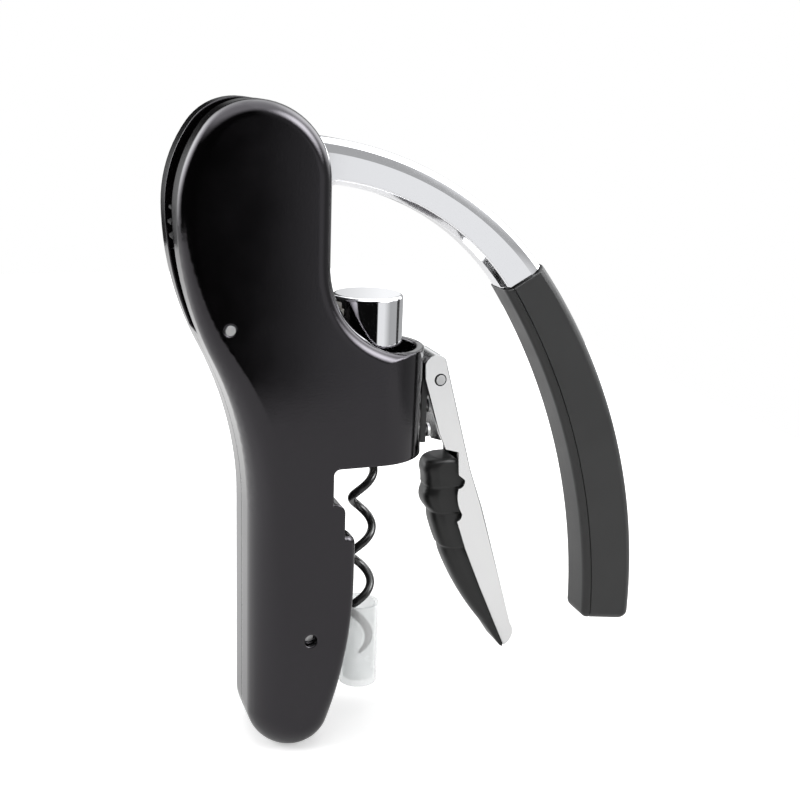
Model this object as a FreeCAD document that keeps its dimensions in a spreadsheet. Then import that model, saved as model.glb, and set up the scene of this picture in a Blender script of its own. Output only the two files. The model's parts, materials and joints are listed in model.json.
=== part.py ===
import FreeCAD, Part
import math
import os
import Sketcher

# Lever corkscrew with an upright carriage.  Millimetres.
# Frame: +Z up along the worm, origin where the worm's axis meets the plane of the bottle mouth,
# +X forward to the clamping trigger, +Y to the left.  The XZ plane is the mirror plane.

DRIVING_SIZES = {
    # neck shell, collar and cheeks
    "collar_radius": 17.8, "collar_bore": 15.3, "collar_height": 34.0, "rim_sweep": 27.0,
    "ledge_bore": 12.6, "ledge_depth": 1.8, "spine_x": 39.2, "spine_bend_z": 14.0,
    "trough_edge_x": 7.5, "trough_edge_rise": 58.0, "step_edge_x": 11.2, "notch_edge_x": 15.0,
    "step_foot_z": 21.6, "notch_foot_z": 11.2, "step_round": 3.0, "notch_corner": 2.0, "toe_z": 94.0,
    "toe_corner": 13.0, "toe_knee_x": 11.5, "toe_knee_rise": 8.6, "cheek_back_x": 60.2,
    "cheek_back_drop": 31.0, "cheek_front_x": 16.3, "cheek_top_z": 107.0, "cheek_radius": 21.9,
    "shoulder_in": 7.7, "shoulder_drop": 7.3, "waist_z": 34.0, "slot_half": 6.0, "slot_floor_z": 41.0,
    "slot_front_x": 10.0, "rim_round": 4.5, "waist_round": 6.0, "spine_round": 11.0, "toe_round": 9.0,
    "knee_round": 6.0, "edge_round": 2.0, "hollow_front_x": 25.0, "hollow_back_x": 35.0,
    "hollow_half": 13.0, "hollow_top_z": 30.0, "hollow_foot_z": 80.0,
    # cross pins
    "upper_pin_x": 46.2, "upper_pin_z": 43.7, "upper_pin_radius": 1.55,
    "lower_pin_x": 21.4, "lower_pin_z": 55.3, "lower_pin_radius": 1.5,
    "pin_recess_radius": 2.05, "pin_recess": 2.5,
    # lever drive
    "hub_z": 72.0, "tooth_module": 1.25, "gear_teeth": 32.0, "tooth_backlash": 0.25,
    "sector_half": 3.0, "axle_radius": 3.0, "bush_radius": 4.6, "bush_length": 7.0, "hub_gap": 0.5,
    "sector_inset": 1.5, "sector_slot_gap": 0.6, "hub_half": 5.2, "washer_radius": 9.0,
    "rivet_radius": 1.6, "rivet_forward": 6.0, "rivet_rise": 9.8, "lever_swing": 190.0,
    # lever arm and grip
    "arm_half": 5.7, "arm_round": 2.6, "grip_half": 6.9, "grip_round": 2.6, "tang_half": 3.0,
    # carriage
    "rack_set_back": 1.1, "rack_web": 0.7, "rack_half": 5.7, "rack_groove_half": 3.35, "rack_foot_z": 2.1,
    "rack_top_z": 77.5, "rack_channel_gap": 0.5,
    "cap_radius": 10.9, "cap_top_z": 50.0, "cap_wall": 1.4, "cap_roof": 2.0, "cap_round": 1.2,
    "cap_height": 23.0, "carrier_foot_z": 18.2, "flange_inset": 1.3, "flange_height": 4.0, "arm_low_z": 22.0,
    "arm_high_z": 45.0, "arm_width_half": 4.5, "shank_radius": 3.0, "head_radius": 4.9, "head_low_z": 14.6,
    "bearing_z": 38.0, "bearing_radius": 5.6, "bearing_height": 1.5, "clip_height": 1.2, "clip_inset": 0.5,
    "clip_groove": 0.6, "button_height": 1.4, "screw_radius": 1.0, "screw_reach": 1.6,
    "screw_head_radius": 2.6, "screw_head_depth": 2.0, "screw_head_web": 1.3,
    # worm and nut
    "worm_radius": 3.35, "wire_radius": 1.35, "worm_pitch": 19.3, "worm_tip_z": 69.5, "worm_phase": -19.9,
    "worm_phase_z": 26.4, "tip_taper": 5.0, "tip_radius": 0.3, "wire_overlap": 2.2, "shank_start": 2.9,
    "nut_clearance": 0.3, "nut_height": 12.0, "tunnel_overrun": 4.0, "ring_width": 2.3, "ring_thickness": 1.4,
    # clear sleeve
    "sleeve_radius": 6.35, "sleeve_bore": 5.05, "sleeve_top_z": 52.5, "sleeve_foot_z": 80.6,
    "sleeve_floor": 1.6,
    # neck pad
    "pad_thickness": 2.3, "pad_top_z": 12.5, "pad_foot_z": 60.0, "pad_setback": 0.8, "pad_step_drop": 0.9,
    "rib_depth": 0.5, "rib_height": 1.2, "rib_start": 8.0, "rib_spacing": 9.0,
    # trigger
    "trigger_pin_x": 22.3, "trigger_pin_z": 23.1, "trigger_pin_radius": 1.6, "trigger_half": 7.2,
    "trigger_wall": 1.2, "jaw_gap": 0.15, "bracket_half": 5.6, "bracket_thickness": 1.6,
    "bracket_low_z": 2.5, "bracket_top_z": 28.5, "ear_inner": 3.6, "ear_sink": 0.6, "ear_drop": 5.5,
    "ear_top_drop": 1.2, "lug_radius": 3.6, "bracket_rivet_radius": 1.1, "bracket_rivet_y": 3.4,
    "bracket_rivet_low_z": 6.0, "bracket_rivet_high_z": 14.0, "rivet_end_gap": 0.2, "rivet_head": 0.8,
    "pin_proud": 0.4, "pin_head_flange": 0.5, "pin_head": 0.4,
    "spring_radius": 2.3, "spring_wire": 0.45, "spring_turn_gap": 0.15, "spring_web_leg": 11.0,
    "spring_collar_leg": 6.0,
    # running clearances
    "shaft_gap": 0.05, "slide_gap": 0.3, "seat_gap": 0.1,
}
PRESSURE_ANGLE = math.radians(20)


class Size:
    """A length that carries its value and the sheet formula that gives it."""

    def __init__(self, value, formula):
        self.value = float(value)
        self.formula = formula

    def combine(self, other, sign, flipped=False):
        first, second = (size(other), self) if flipped else (self, size(other))
        values = {
            "+": first.value + second.value,
            "-": first.value - second.value,
            "*": first.value * second.value,
        }
        result = first.value / second.value if sign == "/" else values[sign]
        return Size(result, "(%s %s %s)" % (first.formula, sign, second.formula))

    def __add__(self, other):
        return self.combine(other, "+")

    def __radd__(self, other):
        return self.combine(other, "+", True)

    def __sub__(self, other):
        return self.combine(other, "-")

    def __rsub__(self, other):
        return self.combine(other, "-", True)

    def __mul__(self, other):
        return self.combine(other, "*")

    def __rmul__(self, other):
        return self.combine(other, "*", True)

    def __truediv__(self, other):
        return self.combine(other, "/")

    def __neg__(self):
        return self.combine(-1, "*")

    def __float__(self):
        return self.value


def size(number):
    """Return number as a Size."""
    if isinstance(number, Size):
        return number
    return Size(number, "(%r)" % float(number))


class SheetSizes:
    """Attribute access to the driving sizes as Size objects bound to the sheet."""

    def __init__(self, values):
        for alias, value in values.items():
            setattr(self, alias, Size(value, "sizes." + alias))


doc = FreeCAD.newDocument("lever_corkscrew")
sheet = doc.addObject("Spreadsheet::Sheet", "sizes")
for row, (alias, value) in enumerate(DRIVING_SIZES.items(), start=1):
    sheet.set("A%d" % row, alias)
    sheet.set("B%d" % row, str(value))
    sheet.setAlias("B%d" % row, alias)
doc.recompute()
s = SheetSizes(DRIVING_SIZES)
# sizes that follow from the driving ones
s.cheek_back_z = s.cheek_top_z - s.cheek_back_drop
s.pitch_radius = s.gear_teeth * s.tooth_module / 2
s.tooth_depth = 1.25 * s.tooth_module
s.rack_face_x = s.collar_bore + s.rack_set_back
s.rack_tip_x = s.rack_face_x + s.rack_web + s.tooth_depth + s.tooth_module
s.rack_channel_x = s.rack_tip_x + s.rack_channel_gap
s.hub_x = s.rack_tip_x - s.tooth_module + s.pitch_radius
s.hub_disc_radius = s.hub_x - s.rack_tip_x - s.hub_gap
s.nut_radius = s.collar_bore - s.slide_gap
s.clip_z = s.bearing_z + s.bearing_height + s.seat_gap
s.clip_neck = s.shank_radius - s.clip_groove
PAST = 1.0          # how far a cutting tool reaches beyond what it cuts
pieces = []


# ---------------------------------------------------------------- helpers

def bind(item, prop, length):
    """Set a property from a Size and bind it to the sheet."""
    length = size(length)
    if "." not in prop:
        setattr(item, prop, length.value)
    item.setExpression(prop, length.formula)


def place(item, x=0, y=0, z=0, rotation=None):
    """Place an object, each coordinate bound to the sheet."""
    if rotation is not None:
        item.Placement = FreeCAD.Placement(FreeCAD.Vector(0, 0, 0), rotation)
    for axis, length in (("x", x), ("y", y), ("z", z)):
        bind(item, "Placement.Base." + axis, length)
    return item


def new(kind, name):
    return doc.addObject(kind, name)


def keep(item, label):
    """Label an object as one finished sub-part."""
    item.Label = label
    pieces.append(item)
    return item


ALONG_X = FreeCAD.Rotation(FreeCAD.Vector(0, 1, 0), 90)
ALONG_Y = FreeCAD.Rotation(FreeCAD.Vector(1, 0, 0), -90)
XZ_TURN = FreeCAD.Rotation(FreeCAD.Vector(1, 0, 0), 90)
NO_TURN = FreeCAD.Rotation()


def cylinder(name, radius, height, x=0, y=0, z=0, rotation=NO_TURN):
    item = new("Part::Cylinder", name)
    bind(item, "Radius", radius)
    bind(item, "Height", height)
    return place(item, x, y, z, rotation)


def cross_cylinder(name, radius, half, x, z):
    """A cylinder across the mirror plane, from y = -half to +half."""
    return cylinder(name, radius, 2 * size(half), x, -size(half), z, ALONG_Y)


def box(name, low, high):
    item = new("Part::Box", name)
    for prop, first, last in zip(("Length", "Width", "Height"), low, high):
        bind(item, prop, size(last) - first)
    return place(item, *low)


def cut(name, base, *tools):
    """Subtract tools from base."""
    for number, tool in enumerate(tools):
        item = new("Part::Cut", "%s_cut%d" % (name, number))
        item.Base = base
        item.Tool = tool
        base = item
    return base


def fuse(name, *shapes):
    item = new("Part::MultiFuse", name)
    item.Shapes = list(shapes)
    item.Refine = True
    return item


def common(name, first, second):
    item = new("Part::MultiCommon", name)
    item.Shapes = [first, second]
    return item


def hold_point(sketch, geometry, end, point):
    """Fix a sketch point at two bound coordinates."""
    for kind, length in (("DistanceX", point[0]), ("DistanceY", point[1])):
        length = size(length)
        index = sketch.addConstraint(Sketcher.Constraint(kind, -1, 1, geometry, end, length.value))
        sketch.setExpression("Constraints[%d]" % index, length.formula)


def hold_height(sketch, geometry, end, length):
    """Fix a sketch point at its second coordinate only."""
    length = size(length)
    index = sketch.addConstraint(Sketcher.Constraint("DistanceY", -1, 1, geometry, end, length.value))
    sketch.setExpression("Constraints[%d]" % index, length.formula)


def vector(point):
    return FreeCAD.Vector(float(point[0]), float(point[1]), 0)


def heading(begin, end):
    return math.atan2(float(end[1]) - float(begin[1]), float(end[0]) - float(begin[0]))


def bent_middle(begin, end, direction):
    """Middle of the arc that leaves begin in the given direction and ends at end; its end direction."""
    chord = heading(begin, end)
    turn = math.remainder(chord - direction, 2 * math.pi)
    half = math.hypot(float(end[0]) - float(begin[0]), float(end[1]) - float(begin[1])) / 2
    rise = half * math.tan(turn / 2)
    middle_x = (float(begin[0]) + float(end[0])) / 2 + rise * math.sin(chord)
    middle_z = (float(begin[1]) + float(end[1])) / 2 - rise * math.cos(chord)
    return (middle_x, middle_z), chord + turn


def draw_loop(sketch, loop):
    """Draw a closed loop of corners.

    A corner is (x, z).  Between two corners, "bend" makes the side an arc tangent to the side before it,
    and ("arc", x, z) an arc through that point.  ("soft", x, z) is a corner that tangency moves along x.
    """
    corners = [item[-2:] for item in loop if item != "bend" and item[0] != "arc"]
    soft = [item[0] == "soft" for item in loop if item != "bend" and item[0] != "arc"]
    kinds = []
    for item in loop:
        if item == "bend" or item[0] == "arc":
            kinds[-1] = item
        else:
            kinds.append("line")
    sides = []
    direction = 0.0
    for number, kind in enumerate(kinds):
        begin = corners[number]
        end = corners[(number + 1) % len(corners)]
        if kind == "line":
            geometry = Part.LineSegment(vector(begin), vector(end))
            direction = heading(begin, end)
        elif kind == "bend":
            middle, direction = bent_middle(begin, end, direction)
            geometry = Part.Arc(vector(begin), vector(middle), vector(end))
        else:
            geometry = Part.Arc(vector(begin), vector(kind[1:]), vector(end))
            direction = heading(kind[1:], end) + heading(begin, end) - heading(begin, kind[1:])
        index = sketch.addGeometry(geometry)
        starts_here = sketch.getPoint(index, 1).distanceToPoint(vector(begin)) < 1e-6
        sides.append((index, 1, 2) if starts_here else (index, 2, 1))
    loose = False
    for number, side in enumerate(sides):
        following = (number + 1) % len(sides)
        after = sides[following]
        loose = loose or soft[number]
        tangent = kinds[following] == "bend" or (loose and kinds[number] == "bend")
        loose = loose and kinds[following] != "line"
        joint = "Tangent" if tangent else "Coincident"
        sketch.addConstraint(Sketcher.Constraint(joint, side[0], side[2], after[0], after[1]))
    for number, side in enumerate(sides):
        if soft[number]:
            hold_height(sketch, side[0], side[1], corners[number][1])
        else:
            hold_point(sketch, side[0], side[1], corners[number])
        if kinds[number][0] == "arc":
            mark = sketch.addGeometry(Part.Point(vector(kinds[number][1:])), True)
            sketch.addConstraint(Sketcher.Constraint("PointOnObject", mark, 1, side[0]))
            hold_point(sketch, mark, 1, kinds[number][1:])


def draw_circle(sketch, centre, radius):
    index = sketch.addGeometry(Part.Circle(vector(centre), FreeCAD.Vector(0, 0, 1), float(radius)))
    hold_point(sketch, index, 3, centre)
    number = sketch.addConstraint(Sketcher.Constraint("Radius", index, float(radius)))
    sketch.setExpression("Constraints[%d]" % number, size(radius).formula)


def side_sketch(name, *loops):
    """A free sketch on the XZ plane."""
    sketch = new("Sketcher::SketchObject", name)
    sketch.Placement = FreeCAD.Placement(FreeCAD.Vector(0, 0, 0), XZ_TURN)
    for loop in loops:
        draw_loop(sketch, loop)
    return sketch


def side_block(name, loop, near, far):
    """The XZ outline as a solid from y = near to y = far."""
    sketch = side_sketch(name + "_outline", loop)
    item = new("Part::Extrusion", name)
    item.Base = sketch
    item.DirMode = "Custom"
    item.Dir = FreeCAD.Vector(0, 1, 0)
    item.Solid = True
    bind(item, "LengthFwd", far)
    bind(item, "LengthRev", -size(near))
    return item


def new_body(name):
    return new("PartDesign::Body", name)


def body_sketch(body, name, role):
    """A sketch on one of a body's own origin planes."""
    sketch = body.newObject("Sketcher::SketchObject", name)
    plane = [item for item in body.Origin.OriginFeatures if item.Role == role][0]
    sketch.AttachmentSupport = [(plane, "")]
    sketch.MapMode = "FlatFace"
    doc.recompute()
    return sketch


def side_pad(body, name, loop, half):
    """Pad an XZ outline equally to both sides of the mirror plane."""
    sketch = body_sketch(body, name + "_sketch", "XZ_Plane")
    draw_loop(sketch, loop)
    pad = body.newObject("PartDesign::Pad", name)
    pad.Profile = sketch
    pad.SideType = "Symmetric"
    bind(pad, "Length", 2 * size(half))
    body.Tip = pad
    return pad


def side_pocket(body, name, half, loop=None, circle=None):
    """Cut an XZ outline or circle equally to both sides of the mirror plane."""
    sketch = body_sketch(body, name + "_sketch", "XZ_Plane")
    if loop is not None:
        draw_loop(sketch, loop)
    if circle is not None:
        draw_circle(sketch, circle[:2], circle[2])
    pocket = body.newObject("PartDesign::Pocket", name)
    pocket.Profile = sketch
    pocket.SideType = "Symmetric"
    bind(pocket, "Length", 2 * size(half))
    body.Tip = pocket
    return pocket


def edge_names(shape, test):
    """Names of the edges whose every sampled point passes test."""
    names = []
    for number, edge in enumerate(shape.Edges, start=1):
        span = edge.LastParameter - edge.FirstParameter
        points = [edge.valueAt(edge.FirstParameter + span * part) for part in (0.1, 0.5, 0.9)]
        if all(test(point) for point in points):
            names.append("Edge%d" % number)
    return names


def round_body(body, name, radius, test, kind="PartDesign::Fillet"):
    """Fillet or chamfer the body's edges that pass test."""
    doc.recompute()
    base = body.Tip
    names = edge_names(base.Shape, test)
    item = body.newObject(kind, name)
    item.Base = (base, names)
    bind(item, "Radius" if kind.endswith("Fillet") else "Size", radius)
    body.Tip = item
    return item


def round_rim(name, base, test, radius_at):
    """Fillet the chosen edges with a radius that changes from each edge's start to its end."""
    doc.recompute()
    item = new("Part::Fillet", name)
    item.Base = base
    chosen = []
    for edge_name in edge_names(base.Shape, test):
        number = int(edge_name[4:])
        edge = base.Shape.Edges[number - 1]
        first = radius_at(edge.valueAt(edge.FirstParameter))
        last = radius_at(edge.valueAt(edge.LastParameter))
        chosen.append((number, first, last))
    item.Edges = chosen
    return item


def feature(name, shape, placement=FreeCAD.Placement()):
    """A shape worked out by Part's own functions, then placed."""
    item = new("Part::Feature", name)
    item.Shape = shape
    item.Placement = placement
    return item


# ---------------------------------------------------------------- housing halves

def waist_point():
    """Where the back edge turns from the cheek's curve into the spine's, halfway in slope."""
    share = (s.waist_z + s.spine_bend_z) / (s.cheek_back_z + s.spine_bend_z)
    return -s.spine_x - share * (s.cheek_back_x - s.spine_x), s.waist_z


def toe_knee():
    """Where the toe's underside turns up into the trough's front edge."""
    return -s.spine_x + s.toe_corner + s.toe_knee_x, -s.toe_z + s.toe_knee_rise


def housing_outline():
    """Side outline of cheek, spine, toe and collar."""
    rim_left = -s.cheek_front_x + s.rim_sweep
    cheek_top_x = -s.cheek_front_x - s.cheek_radius
    knee_x, knee_z = toe_knee()
    waist_x, waist_z = waist_point()
    return [
        (s.collar_radius, 0), (s.collar_radius, s.collar_height), (rim_left, s.collar_height), "bend",
        (-s.cheek_front_x, s.collar_height + s.rim_sweep),
        (-s.cheek_front_x, s.cheek_top_z - s.cheek_radius), "bend", (cheek_top_x, s.cheek_top_z), "bend",
        ("soft", -s.cheek_back_x + s.shoulder_in, s.cheek_top_z - s.shoulder_drop), "bend",
        (-s.cheek_back_x, s.cheek_back_z), "bend",
        ("soft", waist_x, waist_z), "bend", (-s.spine_x, -s.spine_bend_z),
        (-s.spine_x, -s.toe_z + s.toe_corner), "bend", (-s.spine_x + s.toe_corner, -s.toe_z), "bend",
        ("soft", knee_x, knee_z), "bend", (-s.trough_edge_x, -s.toe_z + s.trough_edge_rise),
        (-s.trough_edge_x, -s.step_foot_z - s.step_round), "bend",
        (-s.trough_edge_x - s.step_round, -s.step_foot_z), (-s.step_edge_x, -s.step_foot_z),
        (-s.step_edge_x, -s.notch_foot_z - s.step_round), "bend",
        (-s.step_edge_x - s.step_round, -s.notch_foot_z),
        (-s.notch_edge_x, -s.notch_foot_z), (-s.notch_edge_x, -s.notch_corner), "bend",
        (-s.notch_edge_x + s.notch_corner, 0),
    ]


def rim_radius_at(point):
    """Rounding of the side face's rim: slim round the cheek, full down the spine, fine at the trough."""
    stations = [
        (-s.cheek_front_x, s.collar_height + s.rim_sweep, s.rim_round),
        (-s.cheek_front_x - s.cheek_radius, s.cheek_top_z, s.rim_round),
        (-s.cheek_back_x, s.cheek_back_z, s.rim_round),
        waist_point() + (s.waist_round,),
        (-s.spine_x, -s.spine_bend_z, s.spine_round),
        (-s.spine_x, -s.toe_z + s.toe_corner, s.spine_round),
        (-s.spine_x + s.toe_corner, -s.toe_z, s.toe_round),
        toe_knee() + (s.knee_round,),
        (-s.trough_edge_x, -s.toe_z + s.trough_edge_rise, s.edge_round),
    ]
    nearest = min(stations, key=lambda item: math.hypot(float(item[0]) - point.x, float(item[1]) - point.z))
    return float(nearest[2])


def make_housing_right():
    """The right half: one cheek, half the spine and trough, half the collar."""
    blank = side_block("housing_blank", housing_outline(), -s.collar_radius, 0)
    side = -float(s.collar_radius)
    front = -float(s.cheek_front_x)
    edge_top = -float(s.toe_z) + float(s.trough_edge_rise)
    notch_side = -float(s.notch_edge_x) - 0.5

    def on_rim(point):
        on_side = abs(point.y - side) < 1e-3
        cheek = point.x < front + 1e-3
        toe = point.z < edge_top + 1e-3
        return on_side and (cheek or toe) and not (point.x > notch_side and point.z > edge_top)

    rounded = round_rim("housing_round", blank, on_rim, rim_radius_at)
    front_box = box("collar_front_box", (0, -s.collar_radius - PAST, -PAST),
                    (s.collar_radius + PAST, PAST, s.collar_height + PAST))
    collar_core = cylinder("collar_core", s.collar_radius, s.collar_height + 4 * PAST, 0, 0, -2 * PAST)
    collar_corner = cut("collar_corner", front_box, collar_core)
    slot = side_block("lever_slot", [
        (-s.cheek_back_x - PAST, s.slot_floor_z), (-s.cheek_back_x - PAST, s.cheek_top_z + PAST),
        (s.collar_radius, s.cheek_top_z + PAST), (s.collar_radius, s.collar_height + PAST),
        (-s.slot_front_x, s.collar_height + PAST), (-s.slot_front_x, s.ledge_depth),
        (-s.rack_channel_x, s.ledge_depth), (-s.rack_channel_x, s.slot_floor_z),
    ], -s.slot_half, PAST)
    bore = cylinder("cork_chamber", s.collar_bore, s.collar_height + s.rim_sweep, 0, 0, s.ledge_depth)
    ledge = cylinder("ledge_opening", s.ledge_bore, s.ledge_depth + 2 * PAST, 0, 0, -PAST)
    trough = cylinder("trough", s.collar_bore, s.toe_z + PAST, 0, 0, -s.toe_z - PAST)
    hollow = side_block("spine_hollow", [
        (-s.hollow_back_x, -s.hollow_foot_z), (-s.hollow_back_x, s.hollow_top_z),
        (-s.hollow_front_x, s.hollow_top_z), (-s.hollow_front_x, -s.hollow_foot_z),
    ], -s.hollow_half, PAST)
    upper_hole = cross_cylinder("upper_pin_hole", s.upper_pin_radius + s.shaft_gap, s.collar_radius + PAST,
                                -s.upper_pin_x, s.upper_pin_z)
    lower_hole = cross_cylinder("lower_pin_hole", s.lower_pin_radius + s.shaft_gap, s.collar_radius + PAST,
                                -s.lower_pin_x, -s.lower_pin_z)
    recess = cylinder("lower_pin_recess", s.pin_recess_radius, s.pin_recess + PAST, -s.lower_pin_x,
                      -s.collar_radius - PAST, -s.lower_pin_z, ALONG_Y)
    bush_seat = cross_cylinder("bush_seat", s.bush_radius + s.shaft_gap, s.slot_half + s.bush_length,
                               -s.hub_x, s.hub_z)
    rivet_bore = s.bracket_rivet_radius + s.shaft_gap
    rivet_holes = [cylinder("collar_rivet_hole%d" % number, rivet_bore, s.collar_radius, s.collar_bore - PAST,
                            -s.bracket_rivet_y, z, ALONG_X)
                   for number, z in enumerate((s.bracket_rivet_low_z, s.bracket_rivet_high_z))]
    return cut("housing_right", rounded, collar_corner, slot, bore, ledge, trough, hollow,
               upper_hole, lower_hole, recess, bush_seat, *rivet_holes)


def make_mirror(source, name):
    item = new("Part::Mirroring", name)
    item.Source = source
    item.Normal = FreeCAD.Vector(0, 1, 0)
    return item


housing_right = keep(make_housing_right(), "housing_right")
housing_left = keep(make_mirror(housing_right, "housing_left"), "housing_left")

upper_pin = cross_cylinder("upper_pin", s.upper_pin_radius, s.collar_radius - s.seat_gap,
                           -s.upper_pin_x, s.upper_pin_z)
keep(upper_pin, "upper_cross_pin")
lower_pin = cross_cylinder("lower_pin", s.lower_pin_radius, s.collar_radius - s.pin_recess,
                           -s.lower_pin_x, -s.lower_pin_z)
keep(lower_pin, "lower_cross_pin")


# ---------------------------------------------------------------- lever drive

def tooth_flank(radius, teeth, module, backlash):
    """Half the angle of an involute tooth at a radius."""
    pitch_radius = teeth * module / 2
    base_radius = pitch_radius * math.cos(PRESSURE_ANGLE)
    local = math.acos(min(1.0, base_radius / radius))
    half = math.pi / (2 * teeth) - backlash / (4 * pitch_radius)
    return half + math.tan(PRESSURE_ANGLE) - PRESSURE_ANGLE - (math.tan(local) - local)


FLANK_STEPS = 3
PLAIN_STEPS = 12


def make_gear_sector():
    """Toothed sector round the hub; its teeth run down the front and under to the back."""
    teeth = int(s.gear_teeth.value)
    module = float(s.tooth_module)
    pitch_radius = float(s.pitch_radius)
    root_radius = pitch_radius - float(s.tooth_depth)
    tip_radius = pitch_radius + module
    base_radius = pitch_radius * math.cos(PRESSURE_ANGLE)
    plain_radius = float(s.hub_disc_radius) - float(s.sector_inset)
    step = 2 * math.pi / teeth
    last_tooth = -int(round(math.radians(float(s.lever_swing)) / step)) - 1
    level_step = (tip_radius - base_radius) / FLANK_STEPS
    levels = [base_radius + level_step * number for number in range(FLANK_STEPS + 1)]
    points = []

    def add(radius, angle):
        x = -float(s.hub_x) + radius * math.cos(angle)
        z = float(s.hub_z) + radius * math.sin(angle)
        points.append(FreeCAD.Vector(x, -float(s.sector_half), z))

    for tooth in range(last_tooth, 2):
        centre = tooth * step
        flank = [(level, tooth_flank(level, teeth, module, float(s.tooth_backlash))) for level in levels]
        add(root_radius, centre - flank[0][1])
        for level, half in flank:
            add(level, centre - half)
        for level, half in reversed(flank):
            add(level, centre + half)
        add(root_radius, centre + flank[0][1])
    gap = points[-1]
    start = math.atan2(gap.z - float(s.hub_z), gap.x + float(s.hub_x))
    finish = last_tooth * step + 2 * math.pi - tooth_flank(base_radius, teeth, module, 0)
    for number in range(1, PLAIN_STEPS):
        add(plain_radius, start + (finish - start) * number / PLAIN_STEPS)
    outline = Part.makePolygon(points + [points[0]])
    plate = Part.Face(outline).extrude(FreeCAD.Vector(0, 2 * float(s.sector_half), 0))
    return feature("gear_sector_plate", plate)


def rivet_places():
    """Two rivets through fork and sector, either side of the axle."""
    return [(-s.hub_x + s.rivet_forward, s.hub_z + s.rivet_rise),
            (-s.hub_x - s.rivet_forward, s.hub_z - s.rivet_rise)]


sector_holes = [cross_cylinder("sector_axle_hole", s.axle_radius + s.shaft_gap, s.sector_half + PAST,
                               -s.hub_x, s.hub_z)]
for number, (rivet_x, rivet_z) in enumerate(rivet_places()):
    sector_holes.append(cross_cylinder("sector_rivet_hole%d" % number, s.rivet_radius + s.shaft_gap,
                                       s.sector_half + PAST, rivet_x, rivet_z))
keep(cut("gear_sector", make_gear_sector(), *sector_holes), "gear_sector")
rivets = [cross_cylinder("rivet%d" % number, s.rivet_radius, s.hub_half, rivet_x, rivet_z)
          for number, (rivet_x, rivet_z) in enumerate(rivet_places())]
keep(fuse("sector_rivets", *rivets), "sector_rivets")
axle_half = s.slot_half + s.bush_length - s.seat_gap
keep(cross_cylinder("lever_axle", s.axle_radius, axle_half, -s.hub_x, s.hub_z), "lever_axle")


def make_bush(name, side):
    """Plain bush pressed into the cheek; the axle turns in it."""
    length = s.bush_length - s.seat_gap
    low = s.slot_half if side > 0 else -s.slot_half - length
    sleeve = cylinder(name + "_sleeve", s.bush_radius - s.shaft_gap, length, -s.hub_x, low, s.hub_z, ALONG_Y)
    hole = cross_cylinder(name + "_hole", s.axle_radius + s.shaft_gap, 2 * s.collar_radius, -s.hub_x, s.hub_z)
    return cut(name, sleeve, hole)


def make_washer(name, side):
    """Thrust washer between the fork and the cheek."""
    inner = s.hub_half + s.seat_gap / 2
    low = inner if side > 0 else -s.slot_half
    disc = cylinder(name + "_disc", s.washer_radius, s.slot_half - inner, -s.hub_x, low, s.hub_z, ALONG_Y)
    hole = cross_cylinder(name + "_hole", s.axle_radius + s.shaft_gap, 2 * s.collar_radius, -s.hub_x, s.hub_z)
    return cut(name, disc, hole)


for side_name, side in (("left", 1), ("right", -1)):
    keep(make_bush("axle_bush_" + side_name, side), "axle_bush_" + side_name)
    keep(make_washer("thrust_washer_" + side_name, side), "thrust_washer_" + side_name)


# ---------------------------------------------------------------- lever arm and grip

# Arm and grip meet on the line between these two points, outer one first.
ARM_JOINT = ((55.8, 58.0), (43.2, 50.6))
JOINT_SLOPE = (ARM_JOINT[0][1] - ARM_JOINT[1][1]) / (ARM_JOINT[0][0] - ARM_JOINT[1][0])
GRIP_STEP = 0.9     # how far the grip stands out from the arm on the outer side
GRIP_SHOULDER = (ARM_JOINT[0][0] + GRIP_STEP, ARM_JOINT[0][1] + GRIP_STEP * JOINT_SLOPE)
JOINT_CLEAR = 0.8   # edges nearer to the joint line than this stay sharp
ARM_START = (-16.7, 96.7)
ARM_OUTLINE = [
    ARM_JOINT[0], ("arc", 23.6, 84.4), ARM_START, "bend", (-30.0, 93.4), (-33.5, 88.0),
    (-27.0, 79.8), (-21.0, 80.9), (-12.0, 80.9), ("arc", -10.4, 81.6), (-9.4, 82.6),
    ("arc", 18.6, 72.7), ARM_JOINT[1],
]
GRIP_OUTLINE = [
    ARM_JOINT[1], ("arc", 66.3, 6.5), (79.9, -61.5), "bend", (86.7, -67.8), (95.2, -69.4), "bend",
    (99.0, -65.2), ("arc", 84.1, 11.0), GRIP_SHOULDER,
]
TANG_OUTLINE = [(46.0, 50.5), (52.5, 58.0), (66.5, 36.0), (62.0, 33.5)]


def above_joint(point):
    """Height of a point above the line where arm and grip meet."""
    return point.z - ARM_JOINT[1][1] - (point.x - ARM_JOINT[1][0]) * JOINT_SLOPE


def grown(outline, gap):
    """A convex clockwise outline with every side moved out by gap."""
    sides = []
    for begin, end in zip(outline, outline[1:] + outline[:1]):
        along = heading(begin, end)
        shift = (-gap * math.sin(along), gap * math.cos(along))
        sides.append((begin[0] + shift[0], begin[1] + shift[1], math.cos(along), math.sin(along)))
    corners = []
    for first, second in zip(sides[-1:] + sides[:-1], sides):
        across = first[2] * second[3] - first[3] * second[2]
        reach = ((second[0] - first[0]) * second[3] - (second[1] - first[1]) * second[2]) / across
        corners.append((first[0] + reach * first[2], first[1] + reach * first[3]))
    return corners


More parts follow.
